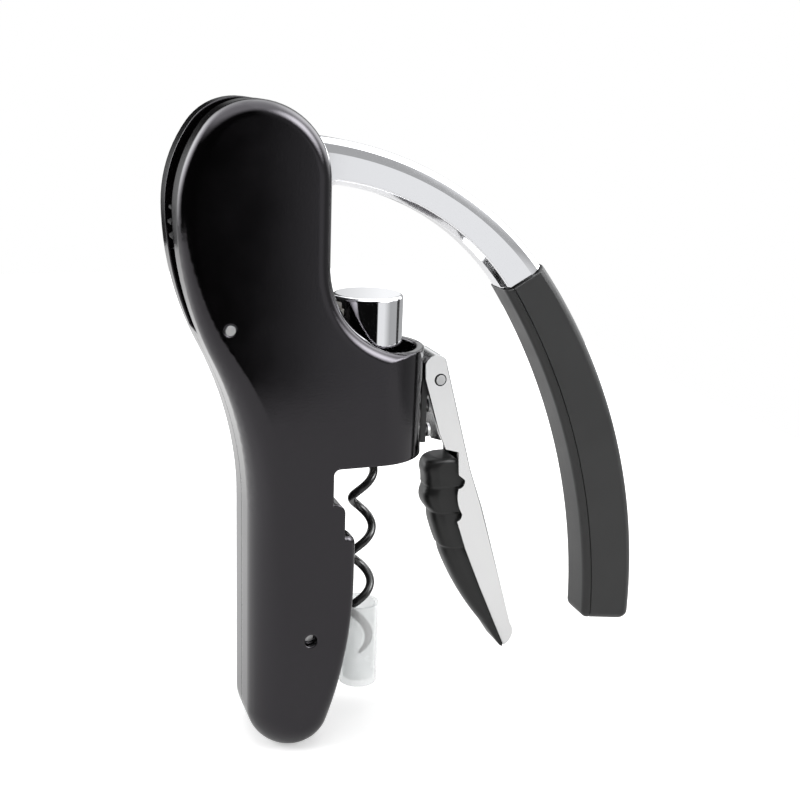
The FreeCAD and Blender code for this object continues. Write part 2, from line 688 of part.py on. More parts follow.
def make_lever_arm():
    """Curved arm with a forked hub for the sector and a tang for the grip."""
    body = new_body("lever_arm")
    side_pad(body, "arm_pad", ARM_OUTLINE, s.arm_half)
    half = float(s.arm_half)
    foot_x = ARM_OUTLINE[-3][0] + 0.4
    start_x, start_z = ARM_START

    def long_edge(point):
        along = above_joint(point) > JOINT_CLEAR and point.x > foot_x
        outer = point.z > start_z - 3.2 and point.x > start_x - 0.3
        return abs(abs(point.y) - half) < 1e-3 and (along or outer)

    round_body(body, "arm_round", s.arm_round, long_edge)
    hub = body_sketch(body, "hub_sketch", "XZ_Plane")
    draw_circle(hub, (-s.hub_x, s.hub_z), s.hub_disc_radius)
    disc = body.newObject("PartDesign::Pad", "hub_disc")
    disc.Profile = hub
    disc.SideType = "Symmetric"
    bind(disc, "Length", 2 * s.hub_half)
    body.Tip = disc
    side_pad(body, "tang", TANG_OUTLINE, s.tang_half)
    side_pocket(body, "sector_slot", s.sector_half + s.seat_gap,
                circle=(-s.hub_x, s.hub_z, s.pitch_radius + s.tooth_module + s.sector_slot_gap))
    side_pocket(body, "axle_hole", s.arm_half + PAST, circle=(-s.hub_x, s.hub_z, s.axle_radius + s.shaft_gap))
    for number, (x, z) in enumerate(rivet_places()):
        side_pocket(body, "rivet_hole%d" % number, s.arm_half + PAST,
                    circle=(x, z, s.rivet_radius + s.shaft_gap))
    return body


def make_lever_grip():
    """Moulded grip over the tang, growing deeper towards its rounded end."""
    body = new_body("lever_grip")
    side_pad(body, "grip_pad", GRIP_OUTLINE, s.grip_half)
    half = float(s.grip_half)

    def along_grip(point):
        return abs(abs(point.y) - half) < 1e-3 and abs(above_joint(point)) > JOINT_CLEAR

    round_body(body, "grip_round", s.grip_round, along_grip)
    side_pocket(body, "tang_socket", s.tang_half + s.seat_gap, loop=grown(TANG_OUTLINE, float(s.seat_gap)))
    return body


keep(make_lever_arm(), "lever_arm")
keep(make_lever_grip(), "lever_grip")


# ---------------------------------------------------------------- carriage

RACK_PITCH = math.pi * float(s.tooth_module)


def make_rack():
    """Ladder rack: teeth bridging two rails, a space level with the hub when the lever is down."""
    module = float(s.tooth_module)
    root_x = -float(s.rack_face_x + s.rack_web)
    tip_x = -float(s.rack_tip_x)
    slope = math.tan(PRESSURE_ANGLE)
    backlash = float(s.tooth_backlash) / 2
    low, high = float(s.rack_foot_z), float(s.rack_top_z)
    tip_half = RACK_PITCH / 4 - backlash / 2 - module * slope
    root_half = RACK_PITCH / 4 - backlash / 2 + float(s.tooth_depth) * slope
    points = [(-float(s.rack_face_x), high), (-float(s.rack_face_x), low), (root_x, low)]
    first = int(math.ceil((low + root_half - float(s.hub_z)) / RACK_PITCH - 0.5))
    last = int(math.floor((high - root_half - float(s.hub_z)) / RACK_PITCH - 0.5))
    for number in range(first, last + 1):
        centre = float(s.hub_z) + (number + 0.5) * RACK_PITCH
        points += [(root_x, centre - root_half), (tip_x, centre - tip_half),
                   (tip_x, centre + tip_half), (root_x, centre + root_half)]
    points.append((root_x, high))
    inner = float(s.rack_groove_half)
    corners = [FreeCAD.Vector(x, -inner, z) for x, z in points]
    teeth = Part.Face(Part.makePolygon(corners + [corners[0]])).extrude(FreeCAD.Vector(0, 2 * inner, 0))
    rails = []
    for side in (-1, 1):
        rails.append(box("rack_rail", (tip_x, s.rack_groove_half if side > 0 else -s.rack_half, low),
                         (-s.rack_face_x, s.rack_half if side > 0 else -s.rack_groove_half, high)))
    return fuse("rack_blank", feature("rack_teeth", teeth), *rails)


SCREW_TEETH = (8.5, 11.5)       # rack screws, in tooth spaces below the hub: two tooth centres


def screw_heights():
    """The rack screws sit at two tooth centres, where the rack is thickest."""
    return [float(s.hub_z) - teeth * RACK_PITCH for teeth in SCREW_TEETH]


screw_tip_x = -s.rack_face_x - s.screw_reach
screw_head_x = -s.head_radius - s.screw_head_web
rack_screw_holes = [cylinder("rack_screw_hole%d" % number, s.screw_radius + s.shaft_gap, s.rack_face_x,
                             screw_tip_x, 0, z, ALONG_X) for number, z in enumerate(screw_heights())]
keep(cut("rack", make_rack(), *rack_screw_holes), "rack")


def make_rack_screws():
    """Two screws that hold the rack to the carrier's arm."""
    parts = []
    for number, z in enumerate(screw_heights()):
        shank = cylinder("rack_screw_shank%d" % number, s.screw_radius, screw_head_x - screw_tip_x,
                         screw_tip_x, 0, z, ALONG_X)
        head = cylinder("rack_screw_head%d" % number, s.screw_head_radius, s.screw_head_depth,
                        screw_head_x - s.screw_head_depth, 0, z, ALONG_X)
        parts += [shank, head]
    return fuse("rack_screws", *parts)


keep(make_rack_screws(), "rack_screws")


def make_carrier_body():
    """Core that carries the worm's shank and bolts to the rack."""
    core_top = s.cap_top_z - s.cap_roof - s.seat_gap
    core = cylinder("carrier_core", s.cap_radius - s.cap_wall - s.seat_gap, core_top - s.carrier_foot_z,
                    0, 0, s.carrier_foot_z)
    flange = cylinder("carrier_flange", s.collar_bore - s.flange_inset, s.flange_height,
                      0, 0, s.carrier_foot_z)
    arm = box("carrier_arm", (-s.rack_face_x, -s.arm_width_half, s.arm_low_z),
              (0, s.arm_width_half, s.arm_high_z))
    blank = fuse("carrier_blank", core, flange, arm)
    trim = box("carrier_trim", (-s.collar_radius, -s.collar_radius, 0),
               (-s.rack_face_x, s.collar_radius, s.cap_top_z))
    bore = cylinder("shank_bore", s.shank_radius + s.shaft_gap, s.cap_top_z, 0, 0, s.carrier_foot_z - PAST)
    counterbore = cylinder("bearing_bore", s.bearing_radius + s.shaft_gap, s.cap_top_z, 0, 0, s.bearing_z)
    tools = [trim, bore, counterbore]
    for number, z in enumerate(screw_heights()):
        tools.append(cylinder("arm_screw_hole%d" % number, s.screw_radius + s.shaft_gap, s.rack_face_x,
                              screw_tip_x, 0, z, ALONG_X))
        tools.append(cylinder("arm_head_hole%d" % number, s.screw_head_radius + s.shaft_gap, 3 * s.cap_radius,
                              screw_head_x - s.screw_head_depth, 0, z, ALONG_X))
    return cut("carrier_body", blank, *tools)


keep(make_carrier_body(), "carrier_body")


def make_carrier_cap():
    """Cup over the core, open at the back for the carrier's arm."""
    foot = s.cap_top_z - s.cap_height
    outer = cylinder("cap_outer", s.cap_radius, s.cap_height, 0, 0, foot)
    rounded = round_rim("cap_rounded", outer, lambda point: abs(point.z - float(s.cap_top_z)) < 1e-3,
                        lambda point: float(s.cap_round))
    inner = cylinder("cap_inner", s.cap_radius - s.cap_wall, s.cap_height - s.cap_roof, 0, 0, foot)
    window = box("cap_window", (-2 * s.cap_radius, -s.arm_width_half - s.seat_gap, foot - PAST),
                 (0, s.arm_width_half + s.seat_gap, s.arm_high_z + s.seat_gap))
    return cut("carrier_cap", rounded, inner, window)


keep(make_carrier_cap(), "carrier_cap")


def make_ring(name, outer, inner, low, height):
    """A plain ring about the z axis."""
    ring = cylinder(name + "_outer", outer, height, 0, 0, low)
    return cut(name, ring, cylinder(name + "_inner", inner, 3 * height, 0, 0, low - height))


keep(make_ring("worm_bearing", s.bearing_radius, s.shank_radius + s.shaft_gap, s.bearing_z, s.bearing_height),
     "worm_bearing")
keep(make_ring("worm_clip", s.bearing_radius - s.clip_inset, s.clip_neck + s.shaft_gap, s.clip_z,
               s.clip_height), "worm_clip")


# ---------------------------------------------------------------- worm and nut

def worm_angle(z):
    """Polar angle in degrees of the wire's centre line at height z."""
    return float(s.worm_phase) + 360 * (z + float(s.worm_phase_z)) / float(s.worm_pitch)


def helix_wire(low, high):
    """Right-handed helix about the z axis between two heights, in phase with the worm."""
    helix = Part.makeHelix(float(s.worm_pitch), high - low, float(s.worm_radius))
    helix.rotate(FreeCAD.Vector(0, 0, 0), FreeCAD.Vector(0, 0, 1), worm_angle(low))
    helix.translate(FreeCAD.Vector(0, 0, low))
    return helix


def section_at(z, radius):
    """Circle square to the helix at height z."""
    angle = math.radians(worm_angle(z))
    across = float(s.worm_radius) * math.cos(angle)
    aside = float(s.worm_radius) * math.sin(angle)
    rise = float(s.worm_pitch) / (2 * math.pi)
    centre = FreeCAD.Vector(across, aside, z)
    along = FreeCAD.Vector(-aside, across, rise)
    return Part.Wire(Part.makeCircle(radius, centre, along))


def sweep_helix(low, high, first, last):
    """Round bar along the helix, its radius going from first to last."""
    path = Part.Wire(helix_wire(low, high).Edges)
    sections = [section_at(low, first)]
    if last != first:
        sections.append(section_at(high, last))
    return path.makePipeShell(sections, True, True)


def make_worm():
    """Helical wire with a drawn-out point, fused to a turned head and shank with a groove for the clip."""
    tip_z = -float(s.worm_tip_z)
    taper_z = tip_z + float(s.tip_taper)
    wire_top_z = float(s.head_low_z) + float(s.wire_overlap)
    wire_radius = float(s.wire_radius)
    wire = feature("worm_wire", sweep_helix(taper_z, wire_top_z, wire_radius, wire_radius))
    tip = feature("worm_tip", sweep_helix(tip_z, taper_z, float(s.tip_radius), wire_radius))
    head_height = s.carrier_foot_z - s.seat_gap - s.head_low_z
    head = cylinder("worm_head", s.head_radius, head_height, 0, 0, s.head_low_z)
    shank_foot_z = s.head_low_z + s.shank_start
    shank_height = s.clip_z - s.seat_gap / 2 - shank_foot_z
    shank = cylinder("worm_shank", s.shank_radius, shank_height, 0, 0, shank_foot_z)
    neck = cylinder("worm_neck", s.clip_neck, s.clip_height + 2 * PAST, 0, 0, s.clip_z - PAST)
    button = cylinder("worm_button", s.shank_radius, s.button_height, 0, 0,
                      s.clip_z + s.clip_height + s.seat_gap / 2)
    return fuse("worm", fuse("worm_bar", wire, tip), fuse("worm_shaft", head, shank, neck, button))


keep(make_worm(), "worm")


def make_worm_nut():
    """Block in the collar with the helical tunnel that turns the worm."""
    block = cylinder("nut_block", s.nut_radius, s.nut_height, 0, 0, s.ledge_depth)
    radius = float(s.wire_radius + s.nut_clearance)
    low = float(s.ledge_depth - s.tunnel_overrun)
    high = float(s.ledge_depth + s.nut_height + s.tunnel_overrun)
    tunnel = feature("nut_tunnel", sweep_helix(low, high, radius, radius))
    return cut("worm_nut", block, tunnel)


keep(make_worm_nut(), "worm_nut")


def make_nut_ring():
    """Snap ring over the nut, split at the back."""
    low = s.ledge_depth + s.nut_height
    ring = make_ring("nut_ring_full", s.collar_bore - s.seat_gap, s.collar_bore - s.slide_gap - s.ring_width,
                     low, s.ring_thickness)
    back = box("nut_ring_gap", (-s.nut_radius - PAST, -s.arm_width_half, 0),
               (0, s.arm_width_half, 3 * s.nut_height))
    return cut("nut_ring", ring, back)


keep(make_nut_ring(), "nut_ring")

sleeve_length = s.sleeve_foot_z - s.sleeve_top_z
sleeve_tube = cylinder("sleeve_tube", s.sleeve_radius, sleeve_length, 0, 0, -s.sleeve_foot_z)
sleeve_bore_foot = s.sleeve_floor - s.sleeve_foot_z
sleeve_bore = cylinder("sleeve_bore_tool", s.sleeve_bore, sleeve_length, 0, 0, sleeve_bore_foot)
keep(cut("worm_sleeve", sleeve_tube, sleeve_bore), "worm_sleeve")


# ---------------------------------------------------------------- neck pad

RIB_COUNT = 4


def make_neck_pad():
    """Soft half ring in the trough with ribs that bear on the bottle neck."""
    pad_radius = s.collar_bore - s.seat_gap
    inner = pad_radius - s.pad_thickness
    height = s.pad_foot_z - s.pad_top_z
    shell = make_ring("pad_shell", pad_radius, inner, -s.pad_foot_z, height)
    ribs = [make_ring("pad_rib%d" % number, inner + s.rib_depth, inner - s.rib_depth,
                      -s.pad_top_z - s.rib_start - number * s.rib_spacing, s.rib_height)
            for number in range(RIB_COUNT)]
    ribbed = fuse("ribbed_pad", shell, *ribs)
    step_z = -s.step_foot_z - s.pad_step_drop
    low_x = -s.trough_edge_x - s.pad_setback
    high_x = -s.step_edge_x - s.pad_setback
    low_front = box("pad_front_low", (low_x, -2 * pad_radius, -s.pad_foot_z - PAST),
                    (2 * pad_radius, 2 * pad_radius, step_z))
    high_front = box("pad_front_high", (high_x, -2 * pad_radius, step_z - PAST),
                     (2 * pad_radius, 2 * pad_radius, PAST))
    return cut("neck_pad", ribbed, low_front, high_front)


keep(make_neck_pad(), "neck_pad")


# ---------------------------------------------------------------- clamping trigger

def make_trigger_bracket():
    """Curved strip riveted to the collar with two ears for the trigger's pin."""
    outer = s.collar_radius + s.seat_gap + s.bracket_thickness
    height = s.bracket_top_z - s.bracket_low_z
    shell = make_ring("bracket_shell", outer, s.collar_radius + s.seat_gap, s.bracket_low_z, height)
    window = box("bracket_window", (0, -s.bracket_half, 0), (2 * s.collar_radius, s.bracket_half, 2 * height))
    strip = common("bracket_strip", shell, window)
    ears = []
    for side in (-1, 1):
        low = s.ear_inner if side > 0 else -s.bracket_half
        high = s.bracket_half if side > 0 else -s.ear_inner
        ears.append(side_block("bracket_ear", [
            (s.collar_radius + s.ear_sink, s.trigger_pin_z - s.ear_drop),
            (s.collar_radius + s.ear_sink, s.bracket_top_z - s.ear_top_drop),
            (s.trigger_pin_x, s.trigger_pin_z + s.lug_radius), "bend",
            (s.trigger_pin_x, s.trigger_pin_z - s.lug_radius),
        ], low, high))
    body = fuse("bracket_blank", strip, *ears)
    hole = cross_cylinder("bracket_pin_hole", s.trigger_pin_radius + s.shaft_gap, 2 * s.bracket_half,
                          s.trigger_pin_x, s.trigger_pin_z)
    rivets = [cylinder("bracket_rivet_hole", s.bracket_rivet_radius + s.shaft_gap, s.collar_radius,
                       s.collar_bore, y, z, ALONG_X) for y, z in bracket_rivet_places()]
    return cut("trigger_bracket", body, hole, *rivets)


def bracket_rivet_places():
    """Four rivets through the bracket and the collar, as (y, z)."""
    return [(side * s.bracket_rivet_y, z) for side in (-1, 1)
            for z in (s.bracket_rivet_low_z, s.bracket_rivet_high_z)]


def make_bracket_rivets():
    """Round-shanked rivets with flat heads outside the bracket."""
    parts = []
    face = s.collar_radius + s.seat_gap + s.bracket_thickness + s.shaft_gap
    end = s.collar_bore + s.rivet_end_gap
    for y, z in bracket_rivet_places():
        parts.append(cylinder("bracket_rivet", s.bracket_rivet_radius, face - end, end, y, z, ALONG_X))
        parts.append(cylinder("bracket_rivet_head", 2 * s.bracket_rivet_radius, s.rivet_head, face, y, z,
                              ALONG_X))
    return fuse("bracket_rivets", *parts)


keep(make_trigger_bracket(), "trigger_bracket")
keep(make_bracket_rivets(), "bracket_rivets")

pin_shank = cross_cylinder("trigger_pin_shank", s.trigger_pin_radius, s.trigger_half + s.pin_proud,
                           s.trigger_pin_x, s.trigger_pin_z)
pin_head = cylinder("trigger_pin_head", s.trigger_pin_radius + s.pin_head_flange, s.pin_head, s.trigger_pin_x,
                    s.trigger_half + s.shaft_gap, s.trigger_pin_z, ALONG_Y)
keep(fuse("trigger_pin", pin_shank, pin_head), "trigger_pin")

# Side outline of the trigger: outer edge from the top down, then the edge that faces the neck back up.
TRIGGER_BACK = [(24.1, 29.6), (34.4, -7.7), (39.2, -21.1), (51.9, -64.1)]
TRIGGER_FRONT = [(50.0, -72.0), (40.0, -49.8), (33.8, -35.1), (30.4, -25.2), ("arc", 31.6, -24.2),
                 (32.0, -22.6), ("arc", 30.3, -18.2), (30.3, -13.8), ("arc", 32.1, -12.7), (32.4, -10.9),
                 (30.1, -9.0), (29.6, -1.5), (25.3, -0.2), (22.7, 5.5), (17.1, 23.7), (17.0, 27.7)]
TRIGGER_TIP = ("arc", 52.6, -69.3)
TRIGGER_TOP = ("arc", 19.6, 30.9)
WEB_TOP = (27.15, 14.0)         # the web ends below the pin, to clear bracket and spring
# Open inside of the channel beyond the web's inner face.
CHANNEL_MOUTH = [(51.2, -70.0), (49.4, -80.0), (35.0, -60.0), (22.0, -22.0), (14.0, 10.0), (14.0, 29.6),
                 (32.0, 29.6)]
WEB_SLANT = 1.04                # web thickness along x for one unit square to the sloping web
# Face of the jaw from the tip up to its top edge.
JAW_FACE = [(50.9, -69.8), (50.3, -73.0), ("arc", 49.7, -73.9), (48.8, -72.6), (44.4, -65.9),
            ("arc", 33.2, -49.5), (25.9, -33.5), (22.1, -21.7), ("arc", 20.4, -19.0), (20.1, -15.9),
            ("arc", 21.3, -12.0), (19.9, -8.5), ("arc", 20.2, -5.4), (22.6, -3.9)]
JAW_SHOULDER_X = 31.6


def make_trigger():
    """Pressed channel: two side plates joined by a web along the outer edge."""
    body = new_body("trigger")
    side_pad(body, "trigger_blank", [*TRIGGER_BACK, TRIGGER_TIP, *TRIGGER_FRONT, TRIGGER_TOP], s.trigger_half)
    wall = s.trigger_wall
    inside = [(x - wall * WEB_SLANT, z) for x, z in TRIGGER_BACK[1:]]
    side_pocket(body, "trigger_channel", s.trigger_half - wall, loop=[
        (CHANNEL_MOUTH[-1][0], WEB_TOP[1]), WEB_TOP, *inside, *CHANNEL_MOUTH])
    side_pocket(body, "trigger_pin_hole", s.trigger_half + PAST,
                circle=(s.trigger_pin_x, s.trigger_pin_z, s.trigger_pin_radius + s.shaft_gap))
    return body


keep(make_trigger(), "trigger")


def make_trigger_pad():
    """Soft jaw in the channel with the face that presses on the bottle neck."""
    body = new_body("trigger_pad")
    gap = s.trigger_wall * WEB_SLANT + s.jaw_gap
    back = [(x - gap, z) for x, z in TRIGGER_BACK[1:]]
    side_pad(body, "jaw", [(JAW_SHOULDER_X - s.seat_gap, JAW_FACE[-1][1]), *back, *JAW_FACE],
             s.trigger_half - s.trigger_wall - s.seat_gap)
    return body


keep(make_trigger_pad(), "trigger_pad")


SPRING_TURNS = 4
SPRING_START = math.radians(12.5)
SPRING_END = math.radians(360 * SPRING_TURNS + 180)


def make_trigger_spring():
    """Torsion spring round the trigger's pin, one leg on the bracket, one on the channel's web."""
    radius = float(s.spring_radius)
    wire = float(s.spring_wire)
    pitch = 2 * wire + float(s.spring_turn_gap)
    first, last = SPRING_START, SPRING_END
    rise = pitch / (2 * math.pi)
    half = rise * (last - first) / 2
    helix = Part.makeHelix(pitch, 2 * half, radius)
    helix.rotate(FreeCAD.Vector(0, 0, 0), FreeCAD.Vector(0, 0, 1), math.degrees(first))
    helix.translate(FreeCAD.Vector(0, 0, -half))

    def on_coil(angle, z):
        return FreeCAD.Vector(radius * math.cos(angle), radius * math.sin(angle), z)

    def along(angle):
        return FreeCAD.Vector(-radius * math.sin(angle), radius * math.cos(angle), rise).normalize()

    web_end = on_coil(first, -half) - along(first) * float(s.spring_web_leg)
    collar_end = on_coil(last, half) + along(last) * float(s.spring_collar_leg)
    path = Part.Wire([Part.makeLine(web_end, on_coil(first, -half)), helix.Edges[0],
                      Part.makeLine(on_coil(last, half), collar_end)])
    section = Part.Wire(Part.makeCircle(wire, web_end, along(first)))
    turned = FreeCAD.Placement(FreeCAD.Vector(float(s.trigger_pin_x), 0, float(s.trigger_pin_z)), XZ_TURN)
    return feature("trigger_spring_shape", path.makePipeShell([section], True, False), turned)


keep(make_trigger_spring(), "trigger_spring")


# ---------------------------------------------------------------- check and write

doc.recompute()
for item in doc.Objects:
    if "Invalid" in item.State or "Error" in item.State:
        raise ValueError("%s did not recompute" % item.Name)
os.makedirs("parts", exist_ok=True)
for item in pieces:
    if item.Shape.isNull() or not item.Shape.isValid():
        raise ValueError("%s is not a valid shape" % item.Label)
    item.Shape.exportStep("parts/%s.step" % item.Label)
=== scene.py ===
import json
import math

import bmesh
import bpy
from mathutils import Matrix, Vector


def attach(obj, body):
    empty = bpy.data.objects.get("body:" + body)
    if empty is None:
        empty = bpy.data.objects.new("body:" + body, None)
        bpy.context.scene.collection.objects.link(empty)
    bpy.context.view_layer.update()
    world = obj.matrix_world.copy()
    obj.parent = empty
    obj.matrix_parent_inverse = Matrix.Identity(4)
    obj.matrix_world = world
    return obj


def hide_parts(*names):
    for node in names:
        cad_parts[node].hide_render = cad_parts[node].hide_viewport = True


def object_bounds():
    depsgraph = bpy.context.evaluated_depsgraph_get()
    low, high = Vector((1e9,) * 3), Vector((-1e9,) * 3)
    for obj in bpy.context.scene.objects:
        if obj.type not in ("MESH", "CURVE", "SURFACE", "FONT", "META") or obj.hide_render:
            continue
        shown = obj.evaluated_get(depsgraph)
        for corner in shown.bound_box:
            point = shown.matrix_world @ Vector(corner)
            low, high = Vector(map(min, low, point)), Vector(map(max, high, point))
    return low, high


# Looks of the upright lever corkscrew, in metres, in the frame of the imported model.

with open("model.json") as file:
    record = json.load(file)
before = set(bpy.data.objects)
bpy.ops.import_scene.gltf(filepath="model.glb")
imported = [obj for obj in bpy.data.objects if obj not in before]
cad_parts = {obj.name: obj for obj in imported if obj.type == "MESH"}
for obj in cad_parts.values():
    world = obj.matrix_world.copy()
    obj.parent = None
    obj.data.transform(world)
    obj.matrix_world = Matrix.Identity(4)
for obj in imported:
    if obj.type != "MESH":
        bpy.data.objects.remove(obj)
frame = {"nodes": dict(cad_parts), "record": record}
CAD_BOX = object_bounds()
MM = 0.001
EVEN_SAMPLES = 8            # rays that even out a normal
SAME_PLACE = 0.002 * MM     # corners nearer than this are one
NO_LENGTH = 0.0001 * MM     # an edge this short has no length
CUT_REACH = 0.001 * MM      # a corner this near to a cut is taken into it
ON_PLANE = 0.01 * MM        # a corner this near to a plane lies on it
FOLD_DEGREES = 40           # a fold sharper than this is an edge of the real piece
SHARP_DEGREES = 32          # a fold sharper than this stays sharp in a frame node's shading


# ---------------------------------------------------------------- shader helpers

def set_inputs(node, values):
    """Set a node's sockets from keyword values; an underscore stands for a space."""
    for key, value in values.items():
        node.inputs[key.replace("_", " ")].default_value = value
    return node


def add_node(tree, kind, **values):
    """A new node with its sockets set."""
    return set_inputs(tree.nodes.new(kind), values)


def new_material(name, **values):
    """A material with one Principled shader; keyword values go on its own sockets."""
    material = bpy.data.materials.new(name)
    material.use_nodes = True
    tree = material.node_tree
    shader = set_inputs(tree.nodes["Principled BSDF"], values)
    return material, tree, shader


def new_group(name, inputs, outputs):
    """A shader node group; inputs are (name, socket type, default), outputs (name, socket type)."""
    group = bpy.data.node_groups.new(name, "ShaderNodeTree")
    for label, kind, default in inputs:
        socket = group.interface.new_socket(name=label, in_out="INPUT", socket_type="NodeSocket" + kind)
        if default is not None:
            socket.default_value = default
    for label, kind in outputs:
        group.interface.new_socket(name=label, in_out="OUTPUT", socket_type="NodeSocket" + kind)
    return group, group.nodes.new("NodeGroupInput"), group.nodes.new("NodeGroupOutput")


def place_group(tree, group, **values):
    """A group used as a node, with its sockets set."""
    node = tree.nodes.new("ShaderNodeGroup")
    node.node_tree = group
    return set_inputs(node, values)


def colour_mix(tree, factor, first, second):
    """Colour between two colour sockets, by a factor socket."""
    node = tree.nodes.new("ShaderNodeMix")
    node.data_type = "RGBA"
    tree.links.new(factor, node.inputs[0])
    tree.links.new(first, node.inputs[6])
    tree.links.new(second, node.inputs[7])
    return node.outputs[2]


def calc(tree, operation, *values):
    """Result of one Math node on numbers or sockets."""
    node = tree.nodes.new("ShaderNodeMath")
    node.operation = operation
    for socket, value in zip(node.inputs, values):
        if isinstance(value, (int, float)):
            socket.default_value = value
        else:
            tree.links.new(value, socket)
    return node.outputs["Value"]


def object_coordinates(tree):
    """Position in the piece's own frame."""
    return tree.nodes.new("ShaderNodeTexCoord").outputs["Object"]


def bump(tree, shader, height, distance, even_radius=0.0):
    """Fine relief; an even radius also evens out the facets of tightly curved faces."""
    node = add_node(tree, "ShaderNodeBump", Strength=1.0, Distance=distance)
    tree.links.new(height, node.inputs["Height"])
    if even_radius > 0:
        even = add_node(tree, "ShaderNodeBevel", Radius=even_radius)
        even.samples = EVEN_SAMPLES
        tree.links.new(even.outputs["Normal"], node.inputs["Normal"])
    tree.links.new(node.outputs["Normal"], shader.inputs["Normal"])


def ranged(tree, value, low, high, to_low, to_high):
    """Map a value from one range to another; the new limits may be numbers or sockets."""
    node = tree.nodes.new("ShaderNodeMapRange")
    tree.links.new(value, node.inputs["Value"])
    node.inputs["From Min"].default_value = low
    node.inputs["From Max"].default_value = high
    for label, limit in (("To Min", to_low), ("To Max", to_high)):
        if isinstance(limit, (int, float)):
            node.inputs[label].default_value = limit
        else:
            tree.links.new(limit, node.inputs[label])
    return node.outputs["Result"]


# ---------------------------------------------------------------- shader groups

PATCH_RANGE = (0.3, 0.7)    # patchy noise between these values takes a moulding's gloss from low to high
MARK_RANGE = (0.35, 0.65)   # the same for the marks on a metal
STREAK_SHARE = 0.3          # share of the streaks in a metal's tone; handling marks make up the rest


def make_moulded_skin():
    """Moulded plastic or rubber: fine grain, patchy gloss and a faint change of tone."""
    group, start, end = new_group(
        "moulded_skin",
        [("Vector", "Vector", None), ("Grain Scale", "Float", 2500.0), ("Patch Scale", "Float", 60.0),
         ("Gloss Low", "Float", 0.2), ("Gloss High", "Float", 0.3),
         ("Dark", "Color", (0.01, 0.01, 0.01, 1)), ("Light", "Color", (0.02, 0.02, 0.02, 1))],
        [("Color", "Color"), ("Roughness", "Float"), ("Height", "Float")])
    link = group.links.new
    noises = {}
    for label, detail in (("Grain Scale", 3.0), ("Patch Scale", 4.0)):
        noise = add_node(group, "ShaderNodeTexNoise", Detail=detail, Roughness=0.6)
        link(start.outputs["Vector"], noise.inputs["Vector"])
        link(start.outputs[label], noise.inputs["Scale"])
        noises[label] = noise.outputs["Fac"]
    gloss = ranged(group, noises["Patch Scale"], *PATCH_RANGE,
                   start.outputs["Gloss Low"], start.outputs["Gloss High"])
    tone = colour_mix(group, noises["Patch Scale"], start.outputs["Dark"], start.outputs["Light"])
    link(tone, end.inputs["Color"])
    link(gloss, end.inputs["Roughness"])
    link(noises["Grain Scale"], end.inputs["Height"])
    return group


def make_worked_metal():
    """Polished or brushed metal: streaks along one direction, fine specks and handling marks."""
    group, start, end = new_group(
        "worked_metal",
        [("Vector", "Vector", None), ("Streak", "Vector", (1, 1, 1)), ("Fine Scale", "Float", 900.0),
         ("Mark Scale", "Float", 35.0), ("Gloss Low", "Float", 0.05), ("Gloss High", "Float", 0.12),
         ("Dark", "Color", (0.6, 0.6, 0.6, 1)), ("Light", "Color", (0.8, 0.8, 0.8, 1))],
        [("Color", "Color"), ("Roughness", "Float"), ("Height", "Float")])
    link = group.links.new
    stretched = group.nodes.new("ShaderNodeVectorMath")
    stretched.operation = "MULTIPLY"
    link(start.outputs["Vector"], stretched.inputs[0])
    link(start.outputs["Streak"], stretched.inputs[1])
    streaks = add_node(group, "ShaderNodeTexNoise", Detail=3.0, Roughness=0.65)
    link(stretched.outputs["Vector"], streaks.inputs["Vector"])
    link(start.outputs["Fine Scale"], streaks.inputs["Scale"])
    marks = add_node(group, "ShaderNodeTexNoise", Detail=5.0, Roughness=0.6, Distortion=0.4)
    link(start.outputs["Vector"], marks.inputs["Vector"])
    link(start.outputs["Mark Scale"], marks.inputs["Scale"])
    faint = calc(group, "MULTIPLY", streaks.outputs["Fac"], STREAK_SHARE)
    wear = calc(group, "MULTIPLY_ADD", marks.outputs["Fac"], 1 - STREAK_SHARE, faint)
    gloss = ranged(group, wear, *MARK_RANGE,
                   start.outputs["Gloss Low"], start.outputs["Gloss High"])
    tone = colour_mix(group, wear, start.outputs["Dark"], start.outputs["Light"])
    link(tone, end.inputs["Color"])
    link(gloss, end.inputs["Roughness"])
    link(streaks.outputs["Fac"], end.inputs["Height"])
    return group


MOULDED = make_moulded_skin()
WORKED = make_worked_metal()


def grey(level, tint=(1.0, 1.0, 1.0)):
    """A grey, or with a tint a colour close to it."""
    return (level * tint[0], level * tint[1], level * tint[2], 1.0)


def moulded_material(name, dark, light, gloss, grain_scale, grain_height, patch_scale=60.0, even_radius=0.0,
                     **values):
    """Plastic, rubber or coating between two tones and two roughnesses; its grain height is in metres."""
    material, tree, shader = new_material(name, **values)
    skin = place_group(tree, MOULDED, Grain_Scale=grain_scale, Patch_Scale=patch_scale,
                       Gloss_Low=gloss[0], Gloss_High=gloss[1], Dark=dark, Light=light)
    tree.links.new(object_coordinates(tree), skin.inputs["Vector"])
    tree.links.new(skin.outputs["Color"], shader.inputs["Base Color"])
    tree.links.new(skin.outputs["Roughness"], shader.inputs["Roughness"])
    bump(tree, shader, skin.outputs["Height"], grain_height, even_radius=even_radius)
    return material


def metal_material(name, dark, light, gloss, streak, fine_scale, streak_height):
    """Bare metal between two tones and two roughnesses; its streaks run where streak is small."""
    material, tree, shader = new_material(name, Metallic=1.0)
    finish = place_group(tree, WORKED, Streak=streak, Fine_Scale=fine_scale,
                         Gloss_Low=gloss[0], Gloss_High=gloss[1], Dark=dark, Light=light)
    tree.links.new(object_coordinates(tree), finish.inputs["Vector"])
    tree.links.new(finish.outputs["Color"], shader.inputs["Base Color"])
    tree.links.new(finish.outputs["Roughness"], shader.inputs["Roughness"])
    bump(tree, shader, finish.outputs["Height"], streak_height)
    return material


